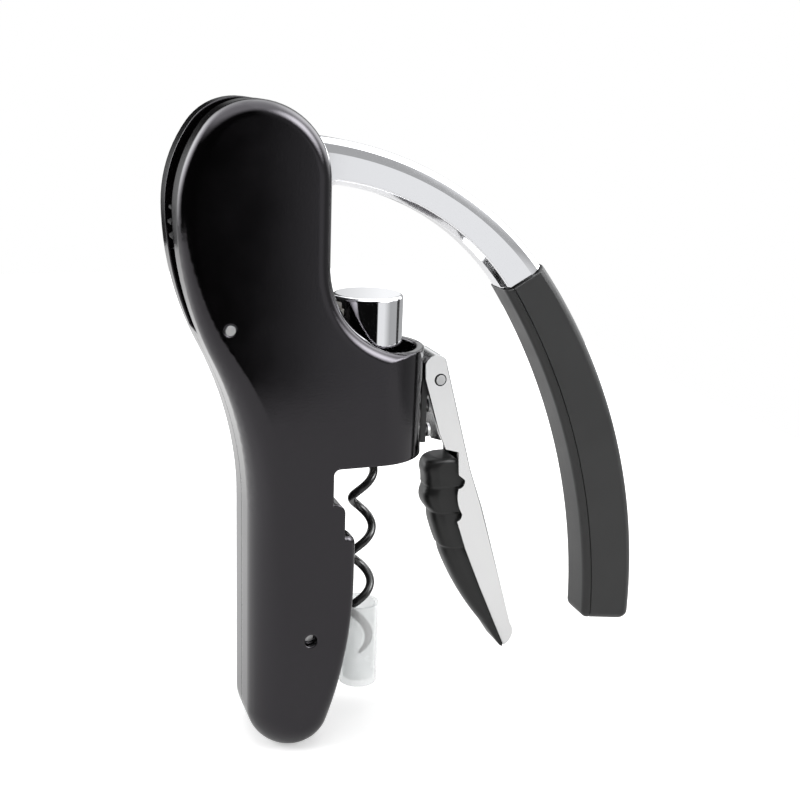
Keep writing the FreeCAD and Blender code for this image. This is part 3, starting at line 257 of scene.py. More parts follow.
PLUM, PLUM_GLOSS = (1.0, 0.93, 1.04), (1.0, 0.95, 1.03)
CREAM = (1.0, 0.97, 0.91)
COOL = (1.0, 1.0, 1.02)
ALL_WAYS, ALONG_PLATE, ALONG_STRIP = (1, 1, 1), (1, 1, 0.1), (1, 1, 0.2)     # how a metal's streaks run
CLEAR_SHARE = 0.68      # share of the light that passes each wall of the sleeve unscattered


def make_clear_moulding():
    """Milky clear plastic of the worm's sleeve: thin frosted skin that lets a blurred view through."""
    material, tree, shader = new_material("milky_clear", Metallic=0.0, IOR=1.45, Transmission_Weight=0.0)
    skin = place_group(tree, MOULDED, Grain_Scale=900.0, Patch_Scale=150.0, Gloss_Low=0.16, Gloss_High=0.3,
                       Dark=(0.93, 0.93, 0.93, 1), Light=(0.98, 0.98, 0.98, 1))
    tree.links.new(object_coordinates(tree), skin.inputs["Vector"])
    tree.links.new(skin.outputs["Color"], shader.inputs["Base Color"])
    tree.links.new(skin.outputs["Roughness"], shader.inputs["Roughness"])
    bump(tree, shader, skin.outputs["Height"], 0.020 * MM)
    through = add_node(tree, "ShaderNodeBsdfTransparent", Color=(0.97, 0.98, 0.98, 1))
    blend = add_node(tree, "ShaderNodeMixShader", Fac=CLEAR_SHARE)
    tree.links.new(shader.outputs["BSDF"], blend.inputs[1])
    tree.links.new(through.outputs["BSDF"], blend.inputs[2])
    tree.links.new(blend.outputs["Shader"], tree.nodes["Material Output"].inputs["Surface"])
    return material


MATERIALS = {
    "housing_plastic": moulded_material(
        "housing_black", grey(0.0008, PLUM), grey(0.0018, PLUM), (0.08, 0.14), 2200.0, 0.010 * MM,
        even_radius=1.0 * MM, Specular_Tint=grey(1.0, PLUM_GLOSS)),
    "grip_plastic": moulded_material(
        "grip_black", grey(0.012), grey(0.02), (0.34, 0.44), 3000.0, 0.020 * MM),
    "soft_rubber": moulded_material(
        "jaw_rubber", grey(0.007), grey(0.013), (0.32, 0.42), 1800.0, 0.020 * MM, Specular_IOR_Level=0.4),
    "inner_plastic": moulded_material(
        "natural_acetal", grey(0.62, CREAM), grey(0.7, CREAM), (0.35, 0.45), 1500.0, 0.010 * MM),
    "worm_steel": moulded_material(
        "worm_coating", grey(0.010), grey(0.02), (0.18, 0.3), 1600.0, 0.020 * MM, patch_scale=120.0),
    # Black oxide steel; the dark ring of painted shade round the trigger pin uses it too.
    "dark_steel": moulded_material(
        "black_oxide_steel_and_painted_shade", grey(0.002), grey(0.004), (0.5, 0.65), 2000.0, 0.010 * MM,
        Specular_IOR_Level=0.1),
    "clear_plastic": make_clear_moulding(),
    "chrome": metal_material(
        "bright_chrome", grey(0.78, COOL), grey(0.86, COOL), (0.04, 0.09), ALL_WAYS, 500.0, 0.0005 * MM),
    "trigger_metal": metal_material(
        "trigger_plate", grey(0.74), grey(0.84), (0.16, 0.26), ALONG_PLATE, 1200.0, 0.004 * MM),
    "pin_steel": metal_material(
        "pin_steel_turned", grey(0.46), grey(0.56), (0.4, 0.5), ALL_WAYS, 2500.0, 0.006 * MM),
    "spring_steel": metal_material(
        "pressed_steel", grey(0.04), grey(0.07), (0.35, 0.5), ALONG_STRIP, 1400.0, 0.006 * MM),
    "bush_brass": metal_material(
        "turned_brass", (0.5, 0.36, 0.14, 1), (0.62, 0.46, 0.2, 1), (0.2, 0.32), ALL_WAYS, 2500.0,
        0.006 * MM),
}


# ---------------------------------------------------------------- pieces carried over from the frame

SLOT_OF = {part["node"]: part["material_slot"] for part in frame["record"]["subparts"]}
BODY_OF = {node: body for body, nodes in frame["record"]["behaviour"]["bodies"].items() for node in nodes}


def add_piece(name, mesh, material):
    """A new object with one material."""
    piece = bpy.data.objects.new(name, mesh)
    bpy.context.scene.collection.objects.link(piece)
    mesh.materials.clear()
    mesh.materials.append(material)
    return piece


def folded_edges(work, degrees):
    """The edges at which the surface turns by more than an angle."""
    return [edge for edge in work.edges
            if len(edge.link_faces) == 2 and edge.calc_face_angle(0.0) > math.radians(degrees)]


def ease(work, edges, width, segments, clamp=True):
    """Round the edges off by a width, which clamping keeps within the faces beside them."""
    bmesh.ops.bevel(work, geom=edges, offset=width, offset_type="OFFSET", segments=segments, profile=0.5,
                    affect="EDGES", clamp_overlap=clamp)


def shade_smooth(work, sharp_degrees):
    """Shade smooth all but the edges sharper than an angle."""
    for face in work.faces:
        face.smooth = True
    for edge in work.edges:
        edge.smooth = len(edge.link_faces) == 2 and edge.calc_face_angle(0.0) < math.radians(sharp_degrees)


def settle(piece, body, slot, *nodes):
    """Ride on a body and stand for the nodes the piece shows; the slot is not used."""
    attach(piece, body)
    if nodes:
        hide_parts(*nodes)


def place_mesh(node, mesh):
    """Show a mesh in place of a frame node, in its finish and on its body."""
    piece = add_piece(node + "_finished", mesh, MATERIALS[SLOT_OF[node]])
    weighted = piece.modifiers.new("even_normals", "WEIGHTED_NORMAL")
    weighted.keep_sharp = True
    settle(piece, BODY_OF[node], SLOT_OF[node], node)


# ---------------------------------------------------------------- frame nodes with eased edges

FLAT_DEGREES = 0.3      # faces that meet within this are one flat face
LIP_EASE = 0.4 * MM     # rounding of the collar's rim
LIP_LOW, LIP_HIGH = 20 * MM, 60 * MM            # the rim's edges lie between these heights,
LIP_BACK, LIP_HALF = -14 * MM, 17.2 * MM        # in front of this x and within this half width
PLATE_HALF = 7.2 * MM   # half the trigger's width
BEND_LEAST, BEND_EASE = 3.0 * MM, 0.6 * MM      # shortest edge of the trigger's bends, and their rounding


def ease_lip(work):
    """Round the edges of the collar's rim."""
    lip = [edge for edge in folded_edges(work, FOLD_DEGREES)
           if all(LIP_LOW < vert.co.z < LIP_HIGH and vert.co.x > LIP_BACK and abs(vert.co.y) < LIP_HALF
                  for vert in edge.verts)]
    ease(work, lip, LIP_EASE, 3, clamp=False)


def ease_plate(work):
    """Round the long bends between the trigger's side plates and its back."""
    bends = [edge for edge in folded_edges(work, FOLD_DEGREES)
             if edge.calc_length() > BEND_LEAST
             and all(abs(abs(vert.co.y) - PLATE_HALF) < ON_PLANE for vert in edge.verts)]
    ease(work, bends, BEND_EASE, 3, clamp=False)


EASED = {               # how far a visible piece's edges are eased, and what is rounded before them
    "housing_right": (0.4 * MM, ease_lip), "housing_left": (0.4 * MM, ease_lip),
    "trigger": (0.15 * MM, ease_plate), "trigger_bracket": (0.2 * MM, None),
    "trigger_pin": (0.15 * MM, None), "upper_cross_pin": (0.25 * MM, None),
    "lower_cross_pin": (0.25 * MM, None), "worm_sleeve": (0.25 * MM, None),
}


def ease_edges(work, width, ease_first):
    """Ease all folded edges, after those that have a rounding of their own."""
    bmesh.ops.dissolve_limit(work, angle_limit=math.radians(FLAT_DEGREES), verts=work.verts,
                             edges=work.edges)
    if ease_first:
        ease_first(work)
    ease(work, folded_edges(work, FOLD_DEGREES), width, 2)
    bmesh.ops.dissolve_degenerate(work, edges=work.edges, dist=NO_LENGTH)


def finish_node(node):
    """A smooth-shaded copy of a frame node, with eased edges where they show."""
    mesh = frame["nodes"][node].data.copy()
    work = bmesh.new()
    work.from_mesh(mesh)
    bmesh.ops.remove_doubles(work, verts=work.verts, dist=SAME_PLACE)
    if node in EASED:
        ease_edges(work, *EASED[node])
    shade_smooth(work, SHARP_DEGREES)
    work.to_mesh(mesh)
    work.free()
    place_mesh(node, mesh)


# ---------------------------------------------------------------- swept and turned pieces, in mm

SECTION_STEPS = 6       # steps round each corner of a section
INSET_WITHIN, INSET_ROUND, LEAST_ROUND = 0.6, 0.8, 0.05     # how a section's corners follow an inset
SWEPT_SHARP_DEGREES = 40        # a fold sharper than this stays sharp in a swept or turned piece


def arc_points(begin, through, end, count):
    """Evenly spaced points along the circle's arc through three (x, z) points."""
    (ax, az), (bx, bz), (cx, cz) = begin, through, end
    twice = 2 * (ax * (bz - cz) + bx * (cz - az) + cx * (az - bz))
    squares = [ax * ax + az * az, bx * bx + bz * bz, cx * cx + cz * cz]
    mid_x = (squares[0] * (bz - cz) + squares[1] * (cz - az) + squares[2] * (az - bz)) / twice
    mid_z = (squares[0] * (cx - bx) + squares[1] * (ax - cx) + squares[2] * (bx - ax)) / twice
    radius = math.hypot(ax - mid_x, az - mid_z)
    start = math.atan2(az - mid_z, ax - mid_x)
    turn = (math.atan2(cz - mid_z, cx - mid_x) - start + math.pi) % (2 * math.pi) - math.pi
    angles = [start + turn * step / (count - 1) for step in range(count)]
    return [(mid_x + radius * math.cos(angle), mid_z + radius * math.sin(angle)) for angle in angles]


def rounded_path(corners, steps):
    """Points along a path of (u, v, rounding radius) corners; its ends are not rounded."""
    path = [Vector(corners[0][:2])]
    for before, corner, after in zip(corners, corners[1:], corners[2:]):
        here = Vector(corner[:2])
        back = (Vector(before[:2]) - here).normalized()
        ahead = (Vector(after[:2]) - here).normalized()
        half_angle = back.angle(ahead) / 2
        middle = here + (back + ahead).normalized() * corner[2] / math.sin(half_angle)
        reach = corner[2] / math.tan(half_angle)
        first, last = here + back * reach - middle, here + ahead * reach - middle
        spread = first.angle_signed(last)
        for step in range(steps + 1):
            path.append(middle + Matrix.Rotation(-spread * step / steps, 2) @ first)
    path.append(Vector(corners[-1][:2]))
    return path


def bar_section(depth, form, inset=0.0):
    """Closed section of a bar, from its inner edge across the side to its outer edge and back."""
    half, inner, outer = form
    corners = [(inset, 0, 0)]
    for edge_u, way, places in ((0, 1, inner), (depth, -1, outer)):
        for from_edge, drop, rounding in places:
            u = edge_u + way * (from_edge + inset * (1 if from_edge == 0 else INSET_WITHIN))
            corners.append((u, half - inset - drop, max(rounding - inset * INSET_ROUND, LEAST_ROUND)))
    corners.append((depth - inset, 0, 0))
    near = rounded_path(corners, SECTION_STEPS)
    return near + [Vector((point.x, -point.y)) for point in reversed(near[1:-1])]


def bar_ring(inner, outer, form, shift=0.0, inset=0.0, bulge=0.0):
    """One section between an inner and an outer (x, z) point, moved along the bar; in metres."""
    across = Vector((outer[0] - inner[0], outer[1] - inner[1]))
    depth = across.length
    across.normalize()
    along = Vector((across.y, -across.x))
    ring = []
    for point in bar_section(depth, form, inset):
        crown = bulge * (1 - (2 * point.x / depth - 1) ** 2)
        place = Vector(inner) + across * point.x + along * (shift + crown)
        ring.append((place.x * MM, point.y * MM, place.y * MM))
    return ring


def loft(work, rings):
    """Skin a list of equal rings and close both ends."""
    loops = [[work.verts.new(place) for place in ring] for ring in rings]
    for low, high in zip(loops, loops[1:]):
        for index in range(len(low)):
            after = (index + 1) % len(low)
            work.faces.new((low[index], low[after], high[after], high[index]))
    work.faces.new(loops[0])
    work.faces.new(list(reversed(loops[-1])))


def smooth_mesh(work, name):
    """A mesh with outward faces, smooth but for its sharp edges."""
    bmesh.ops.recalc_face_normals(work, faces=work.faces)
    shade_smooth(work, SWEPT_SHARP_DEGREES)
    mesh = bpy.data.meshes.new(name)
    work.to_mesh(mesh)
    work.free()
    return mesh


# A bar's half width, then the corners of its inner and its outer edge: how far in from that edge,
# how far down from the side, and rounding. The grip has a fine groove beside its inner edge.
ARM_FORM = (5.7, [(0, 2.6, 0.9), (1.6, 0, 0.8)], [(4.3, 0, 0.5), (0, 0.6, 2.3)])
GRIP_FORM = (6.9, [(0, 0, 2.3), (2.4, 0, 0.05), (2.65, 0.4, 0.05), (2.9, 0, 0.05)],
             [(2.6, 0, 0.3), (0, 0.12, 3.2)])
BAR_STEPS = 96          # sections along each curved stretch
JOINT_BULGE, BULGE_REACH = 1.4, 9.0     # how far the arm's end bulges into the grip, and over what length
JOINT_GAP = 0.18        # how far arm and grip each stay back from their joint
ARM_RIM = ((-0.1, 0.0), (0.0, 0.08), (0.08, 0.3))           # way along the arm and inset of its end's rings
GRIP_RIM = ((-0.05, 0.35), (0.0, 0.12), (0.14, 0.0))        # the same of the grip's first rings
ARM_FOOT = [(-15.4, 80.9), (-14.5, 81.4), (-13.6, 82.1), (-12.8, 82.6)]      # inner outline at the hub
ARM_INNER = ((-11.9, 82.9), (18.6, 72.7), (43.2, 50.6))
ARM_OUTER = ((-16.7, 96.7), (23.6, 84.4), (55.8, 58.0))
GRIP_INNER = ((43.2, 50.6), (66.3, 6.5), (80.3, -63.4))
GRIP_OUTER = ((56.3, 58.3), (84.1, 11.0), (99.0, -66.4))
END_ROUND, END_LENGTH, END_STEPS = 3.4, 3.3, 8      # inset, length and steps of the grip's rounded end


def bulge_at(distance):
    """Crown of a section at a distance from the joint of arm and grip."""
    return JOINT_BULGE * max(0.0, 1 - distance / BULGE_REACH) ** 2


def make_arm():
    """Chrome arm: the hub's part from the frame, cut square to the arm, and a swept bar from there on."""
    inner = ARM_FOOT + arc_points(*ARM_INNER, BAR_STEPS)
    outer = arc_points(*ARM_OUTER, len(inner))
    work = bmesh.new()
    work.from_mesh(frame["nodes"]["lever_arm"].data)
    bmesh.ops.remove_doubles(work, verts=work.verts, dist=SAME_PLACE)
    across = Vector((outer[0][0] - inner[0][0], 0, outer[0][1] - inner[0][1])).normalized()
    cut = bmesh.ops.bisect_plane(work, geom=work.verts[:] + work.edges[:] + work.faces[:], dist=CUT_REACH,
                                 plane_co=Vector((inner[0][0], 0, inner[0][1])) * MM,
                                 plane_no=(across.z, 0, -across.x), clear_outer=True)
    rim = [item for item in cut["geom_cut"] if isinstance(item, bmesh.types.BMEdge)]
    bmesh.ops.edgeloop_fill(work, edges=rim)
    rings = []
    for near, far in list(zip(inner, outer))[:-1]:
        rings.append(bar_ring(near, far, ARM_FORM, bulge=bulge_at(math.dist(near, inner[-1]))))
    for shift, inset in ARM_RIM:
        rings.append(bar_ring(inner[-1], outer[-1], ARM_FORM, shift - JOINT_GAP, inset, JOINT_BULGE))
    loft(work, rings)
    place_mesh("lever_arm", smooth_mesh(work, "lever_arm_swept"))


def make_grip():
    """Moulded grip with a hollowed top and a rounded end."""
    inner = arc_points(*GRIP_INNER, BAR_STEPS)
    outer = arc_points(*GRIP_OUTER, BAR_STEPS)
    rings = [bar_ring(inner[0], outer[0], GRIP_FORM, JOINT_GAP + shift, inset, JOINT_BULGE)
             for shift, inset in GRIP_RIM]
    for near, far in list(zip(inner, outer))[1:]:
        rings.append(bar_ring(near, far, GRIP_FORM, bulge=bulge_at(math.dist(near, inner[0]))))
    for step in range(1, END_STEPS + 1):
        turn = math.pi / 2 * step / END_STEPS
        rings.append(bar_ring(inner[-1], outer[-1], GRIP_FORM, END_LENGTH * math.sin(turn),
                              END_ROUND * (1 - math.cos(turn))))
    work = bmesh.new()
    loft(work, rings)
    place_mesh("lever_grip", smooth_mesh(work, "lever_grip_swept"))


JAW_HALF, JAW_ROUND, JAW_BACK_ROUND = 5.85, 4.4, 0.3           # half width, rounding in front and behind
JAW_ROUND_SHARE = 0.55          # the front's rounding is at most this share of the jaw's depth
JAW_STEPS, JAW_CROWDING = 180, 1.3      # sections, and how much closer they lie toward the top
JAW_ARC_POINTS = 24             # points on each arc of its front
JAW_SLANT = 0.035               # how far a section's back runs ahead of its front, as a share of the path
JAW_TOP_ROUND = 1.0
# Front of the jaw from its top to its tip as arcs through three (x, z) points, then its back.
JAW_FRONT = [((22.6, -3.9), (20.4, -5.6), (19.9, -8.5)), ((19.9, -8.5), (20.5, -12.0), (20.1, -15.9)),
             ((20.1, -15.9), (20.4, -19.0), (22.1, -21.7)), ((22.1, -21.7), (23.8, -27.7), (25.9, -33.5)),
             ((25.9, -33.5), (33.2, -49.5), (44.4, -65.9)), ((44.4, -65.9), (46.9, -69.5), (49.4, -73.0))]
JAW_BACK = [(30.2, -3.9), (33.0, -7.7), (37.8, -21.1), (50.5, -64.1), (50.6, -70.5), (50.2, -73.2)]
JAW_CREASES = [(-13.5, 0.35), (-22.5, 0.5), (-35.0, 0.5)]     # height and depth of the folds round the jaw
CREASE_ABOVE, CREASE_BELOW = 0.8, 4.5                        # reach of a fold above and below its bottom


def point_along(path, share):
    """The point at a share of a path's length."""
    lengths = [math.dist(start, end) for start, end in zip(path, path[1:])]
    left = share * sum(lengths)
    for start, end, length in zip(path, path[1:], lengths):
        if left <= length:
            break
        left -= length
    part = min(left / length, 1.0)
    return (start[0] + (end[0] - start[0]) * part, start[1] + (end[1] - start[1]) * part)


def crease_depth(z):
    """How far the jaw's surface lies inside its outline at a height of its front."""
    deepest = 0.0
    for bottom, depth in JAW_CREASES:
        reach = CREASE_ABOVE if z > bottom else CREASE_BELOW
        deepest = max(deepest, depth * max(0.0, 1 - abs(z - bottom) / reach) ** 2)
    return deepest


def make_jaw():
    """Soft jaw with a round front, a rounded top and folds across it."""
    front = [place for arc in JAW_FRONT for place in arc_points(*arc, JAW_ARC_POINTS)[:-1]]
    front.append(JAW_FRONT[-1][-1])
    rings = []
    for step in range(JAW_STEPS + 1):
        share = (step / JAW_STEPS) ** JAW_CROWDING
        near = point_along(front, share)
        far = point_along(JAW_BACK, min(1.0, share + JAW_SLANT * math.sin(math.pi * share)))
        from_top = min(1.0, (front[0][1] - near[1]) / JAW_TOP_ROUND)
        inset = JAW_TOP_ROUND * (1 - math.sqrt(1 - (1 - from_top) ** 2)) + crease_depth(near[1])
        rounding = min(JAW_ROUND, JAW_ROUND_SHARE * math.dist(near, far))
        form = (JAW_HALF, [(0, 0, rounding)], [(0, 0, JAW_BACK_ROUND)])
        rings.append(bar_ring(near, far, form, inset=inset))
    work = bmesh.new()
    loft(work, rings)
    place_mesh("trigger_pad", smooth_mesh(work, "trigger_pad_swept"))


CAP_RADIUS, CAP_TOP, CAP_FOOT = 10.9, 50.0, 27.0
CAP_WALL, CAP_ROOF, CAP_ROUND = 1.4, 2.0, 1.2
CAP_ROUND_STEPS = 10
CAP_WINDOW_HALF, CAP_WINDOW_TOP = 4.55, 45.05       # the window's half width and upper edge
WINDOW_PAST = 1.0               # how far the window's block reaches below the cap
TURNED_STEPS = 192


def turned(profile, name):
    """Spin a closed (radius, z) profile about the z axis; radius 0 at its ends closes it on the axis."""
    work = bmesh.new()
    columns = []
    for step in range(TURNED_STEPS):
        angle = 2 * math.pi * step / TURNED_STEPS
        aside, ahead = math.cos(angle), math.sin(angle)
        columns.append([work.verts.new((radius * MM * aside, radius * MM * ahead, z * MM))
                        for radius, z in profile])
    for index, column in enumerate(columns):
        beside = columns[(index + 1) % TURNED_STEPS]
        for low in range(len(profile) - 1):
            work.faces.new((column[low], beside[low], beside[low + 1], column[low + 1]))
    bmesh.ops.remove_doubles(work, verts=work.verts, dist=NO_LENGTH)
    bmesh.ops.dissolve_degenerate(work, edges=work.edges, dist=NO_LENGTH)
    return smooth_mesh(work, name)


def make_cap():
    """Turned chrome cup with the window at its back cut out."""
    outside = rounded_path([(0, CAP_TOP, 0), (CAP_RADIUS, CAP_TOP, CAP_ROUND), (CAP_RADIUS, CAP_FOOT, 0)],
                           CAP_ROUND_STEPS)
    profile = [(point.x, point.y) for point in outside]
    profile += [(CAP_RADIUS - CAP_WALL, CAP_FOOT), (CAP_RADIUS - CAP_WALL, CAP_TOP - CAP_ROOF),
                (0, CAP_TOP - CAP_ROOF)]
    cup = bpy.data.objects.new("cap_cup", turned(profile, "cap_cup"))
    block = bmesh.new()
    bmesh.ops.create_cube(block, size=1.0)
    for vert in block.verts:
        vert.co.x = (vert.co.x - 0.5) * 2 * CAP_RADIUS * MM
        vert.co.y *= 2 * CAP_WINDOW_HALF * MM
        vert.co.z = (CAP_WINDOW_TOP if vert.co.z > 0 else CAP_FOOT - WINDOW_PAST) * MM
    window = bpy.data.objects.new("cap_window", smooth_mesh(block, "cap_window"))
    for item in (cup, window):
        bpy.context.scene.collection.objects.link(item)
    cutter = cup.modifiers.new("window", "BOOLEAN")
    cutter.operation, cutter.solver, cutter.object = "DIFFERENCE", "EXACT", window
    bpy.context.view_layer.update()
    mesh = bpy.data.meshes.new_from_object(cup.evaluated_get(bpy.context.evaluated_depsgraph_get()))
    bpy.data.objects.remove(cup)
    bpy.data.objects.remove(window)
    place_mesh("carrier_cap", mesh)


WORM = {                # in metres and radians
    "Radius": 3.35 * MM, "Pitch": 19.3 * MM, "Low": -69.5 * MM, "High": 16.8 * MM,
    "Phase": math.radians(-19.9), "Phase Height": -26.4 * MM,
    "Wire": 1.35 * MM, "Tip Wire": 0.35 * MM, "Taper": 5.0 * MM,
}
WORM_STEPS, WORM_SIDES = 640, 32        # points along the worm, and sides of its round wire
TAPER_POWER = 0.7               # how full the worm's pointed end is
# Head and shank from below, as (radius, z), with the groove for the clip.
SHAFT_PROFILE = [(0, 14.6), (4.4, 14.6), (4.9, 15.1), (4.9, 17.7), (4.5, 18.1), (3.0, 18.1), (3.0, 39.55),
                 (2.4, 39.55), (2.4, 40.9), (3.0, 40.9), (3.0, 42.2), (2.7, 42.4), (0, 42.4)]


def helix_curve(group, given):
    """A line bent into a helix, and how thick the bar is along it; given holds the group's inputs."""
    link = group.links.new
    line = group.nodes.new("GeometryNodeCurvePrimitiveLine")
    sampled = add_node(group, "GeometryNodeResampleCurve", Count=WORM_STEPS)
    link(line.outputs["Curve"], sampled.inputs["Curve"])
    factor = group.nodes.new("GeometryNodeSplineParameter").outputs["Factor"]
    span = calc(group, "SUBTRACT", given["High"], given["Low"])
    height = calc(group, "ADD", given["Low"], calc(group, "MULTIPLY", factor, span))
    turns = calc(group, "DIVIDE", calc(group, "SUBTRACT", height, given["Phase Height"]), given["Pitch"])
    angle = calc(group, "ADD", given["Phase"], calc(group, "MULTIPLY", turns, 2 * math.pi))
    place = group.nodes.new("ShaderNodeCombineXYZ")
    link(calc(group, "MULTIPLY", given["Radius"], calc(group, "COSINE", angle)), place.inputs["X"])
    link(calc(group, "MULTIPLY", given["Radius"], calc(group, "SINE", angle)), place.inputs["Y"])
    link(height, place.inputs["Z"])
    bent = group.nodes.new("GeometryNodeSetPosition")
    link(sampled.outputs["Curve"], bent.inputs["Geometry"])
    link(place.outputs["Vector"], bent.inputs["Position"])
    from_tip = calc(group, "DIVIDE", calc(group, "SUBTRACT", height, given["Low"]), given["Taper"])
    grown = calc(group, "POWER", calc(group, "MINIMUM", from_tip, 1.0), TAPER_POWER)
    more = calc(group, "MULTIPLY", calc(group, "SUBTRACT", given["Wire"], given["Tip Wire"]), grown)
    return bent.outputs["Geometry"], calc(group, "ADD", given["Tip Wire"], more)


def helix_nodes(name):
    """Geometry nodes for a round bar along a helix about the z axis, drawn out to a point at its foot."""
    group = bpy.data.node_groups.new(name, "GeometryNodeTree")
    for label in WORM:
        group.interface.new_socket(name=label, in_out="INPUT", socket_type="NodeSocketFloat")
    group.interface.new_socket(name="Material", in_out="INPUT", socket_type="NodeSocketMaterial")
    group.interface.new_socket(name="Geometry", in_out="OUTPUT", socket_type="NodeSocketGeometry")
    start, end = group.nodes.new("NodeGroupInput"), group.nodes.new("NodeGroupOutput")
    link = group.links.new
    curve, thickness = helix_curve(group, start.outputs)
    ring = add_node(group, "GeometryNodeCurvePrimitiveCircle", Resolution=WORM_SIDES, Radius=1.0)
    skin = add_node(group, "GeometryNodeCurveToMesh", Fill_Caps=True)
    link(curve, skin.inputs["Curve"])
    link(ring.outputs["Curve"], skin.inputs["Profile Curve"])
    link(thickness, skin.inputs["Scale"])
    whole = group.nodes.new("GeometryNodeRealizeInstances")
    link(skin.outputs["Mesh"], whole.inputs["Geometry"])
    finish = group.nodes.new("GeometryNodeSetMaterial")
    link(whole.outputs["Geometry"], finish.inputs["Geometry"])
    link(start.outputs["Material"], finish.inputs["Material"])
    link(finish.outputs["Geometry"], end.inputs["Geometry"])
    return group


def grown_mesh(group, values, material):
    """The mesh that a geometry node group makes of named values."""
    carrier = bpy.data.objects.new("carrier", bpy.data.meshes.new("carrier"))
    bpy.context.scene.collection.objects.link(carrier)
    nodes = carrier.modifiers.new("shape", "NODES")
    nodes.node_group = group
    identifiers = {item.name: item.identifier for item in group.interface.items_tree
                   if item.in_out == "INPUT"}
    for label, value in values.items():
        nodes[identifiers[label]] = value
    nodes[identifiers["Material"]] = material
    bpy.context.view_layer.update()
    mesh = bpy.data.meshes.new_from_object(carrier.evaluated_get(bpy.context.evaluated_depsgraph_get()))
    bpy.data.objects.remove(carrier)
    return mesh


def make_worm():
    """Helical wire grown by geometry nodes, with its turned head and shank."""
    work = bmesh.new()
    work.from_mesh(grown_mesh(helix_nodes("helix_bar"), WORM, MATERIALS["worm_steel"]))
    work.from_mesh(turned(SHAFT_PROFILE, "worm_shaft"))
    place_mesh("worm", smooth_mesh(work, "worm_grown"))


PIN_X, PIN_Z = 22.3, 23.1       # axis of the trigger's pin
# Size of the thin dark ring laid on the plate round the trigger pin as painted shade.
RING_INNER, RING_OUTER, RING_HEIGHT, RING_SHOULDER = 1.62, 1.98, 0.12, 0.072


def make_painted_pin_shade():
    """Painted shade: a dark ring round the trigger pin's headless end, for the shadowed gap between pin and
    plate.
    """
    profile = [(RING_INNER, 0), (RING_OUTER, 0), (RING_OUTER, RING_SHOULDER),
               ((RING_INNER + RING_OUTER) / 2, RING_HEIGHT), (RING_INNER, RING_SHOULDER), (RING_INNER, 0)]
    ring = turned(profile, "painted_pin_shade")
    place = Matrix.Translation((PIN_X * MM, -PLATE_HALF, PIN_Z * MM))
    ring.transform(place @ Matrix.Rotation(math.pi / 2, 4, "X"))
    settle(add_piece("painted_pin_shade", ring, MATERIALS["dark_steel"]), "trigger", "dark_steel")


# The dark ring round the trigger pin is painted shade.
make_painted_pin_shade()
REBUILT = {"lever_arm": make_arm, "lever_grip": make_grip, "carrier_cap": make_cap, "worm": make_worm,
           "trigger_pad": make_jaw}
for node in sorted(SLOT_OF):
    if node in REBUILT:
        REBUILT[node]()
    else:
        finish_node(node)


# ---------------------------------------------------------------- studio

def compass(azimuth, elevation):
    """Unit vector from degrees right of the front (-Y) and degrees above the horizon."""
    turn, lift = math.radians(azimuth), math.radians(elevation)
    return (math.sin(turn) * math.cos(lift), -math.cos(turn) * math.cos(lift), math.sin(lift))


def toward(tree, vector, target):
    """Cosine of the angle between a direction and a fixed one."""
    node = tree.nodes.new("ShaderNodeVectorMath")
    node.operation = "DOT_PRODUCT"
    tree.links.new(vector, node.inputs[0])
    node.inputs[1].default_value = target
    return node.outputs["Value"]


def combined(tree, operation, *values):
    """Fold sockets together with one Math operation."""
    total = values[0]
    for value in values[1:]:
        total = calc(tree, operation, total, value)
    return total


FLOOR_Z = CAD_BOX[0].z - 0.2 * MM
TABLE_LEFT, TABLE_RIGHT = -0.85, 0.36    # x of the table's sides
TABLE_FRONT, TABLE_BACK = -0.42, 0.9    # y of its front and back edges
SHADOW_NEAR, SHADOW_FAR = 0.10, 0.34    # the object's shadow fades out between these distances
SHADOW_GLOW = 0.42                      # the table's own light near the object; it is 1 past the shadow
POOL_PLACE, POOL_LEVEL = (-0.30, 0.20), 0.45        # painted pool of light: a glow on the table that only polished faces mirror
POOL_CORE, POOL_REACH = 0.05, 0.42                  # it fades out between these distances from its middle


def make_floor_material():
    """White, with a glow of its own for the camera past the shadow, and a painted pool of light that only
    mirrors see.
    """
    material = bpy.data.materials.new("pale_floor")
    material.use_nodes = True
    tree = material.node_tree
    tree.nodes.clear()
    link = tree.links.new
    diffuse = add_node(tree, "ShaderNodeBsdfDiffuse", Color=(0.86, 0.86, 0.86, 1))
    glow = add_node(tree, "ShaderNodeEmission", Color=(1, 1, 1, 1))
    seen = tree.nodes.new("ShaderNodeLightPath")
    distance = tree.nodes.new("ShaderNodeVectorMath")
    distance.operation = "LENGTH"
    link(object_coordinates(tree), distance.inputs[0])
    fading = ranged(tree, distance.outputs["Value"], SHADOW_NEAR, SHADOW_FAR, SHADOW_GLOW, 1.0)
    pool = tree.nodes.new("ShaderNodeVectorMath")
    pool.operation = "DISTANCE"
    link(object_coordinates(tree), pool.inputs[0])
    pool.inputs[1].default_value = (*POOL_PLACE, FLOOR_Z)
    # painted pool of light: the table glows here for mirror rays only
    painted_pool = ranged(tree, pool.outputs["Value"], POOL_CORE, POOL_REACH, POOL_LEVEL, 0.0)
    for_camera = combined(tree, "MULTIPLY", seen.outputs["Is Camera Ray"], fading)
    for_mirror = combined(tree, "MULTIPLY", seen.outputs["Is Glossy Ray"], painted_pool)
    link(combined(tree, "ADD", for_camera, for_mirror), glow.inputs["Strength"])
    both = tree.nodes.new("ShaderNodeAddShader")
    link(diffuse.outputs["BSDF"], both.inputs[0])
    link(glow.outputs["Emission"], both.inputs[1])
    end = tree.nodes.new("ShaderNodeOutputMaterial")
    link(both.outputs["Shader"], end.inputs["Surface"])
    return material


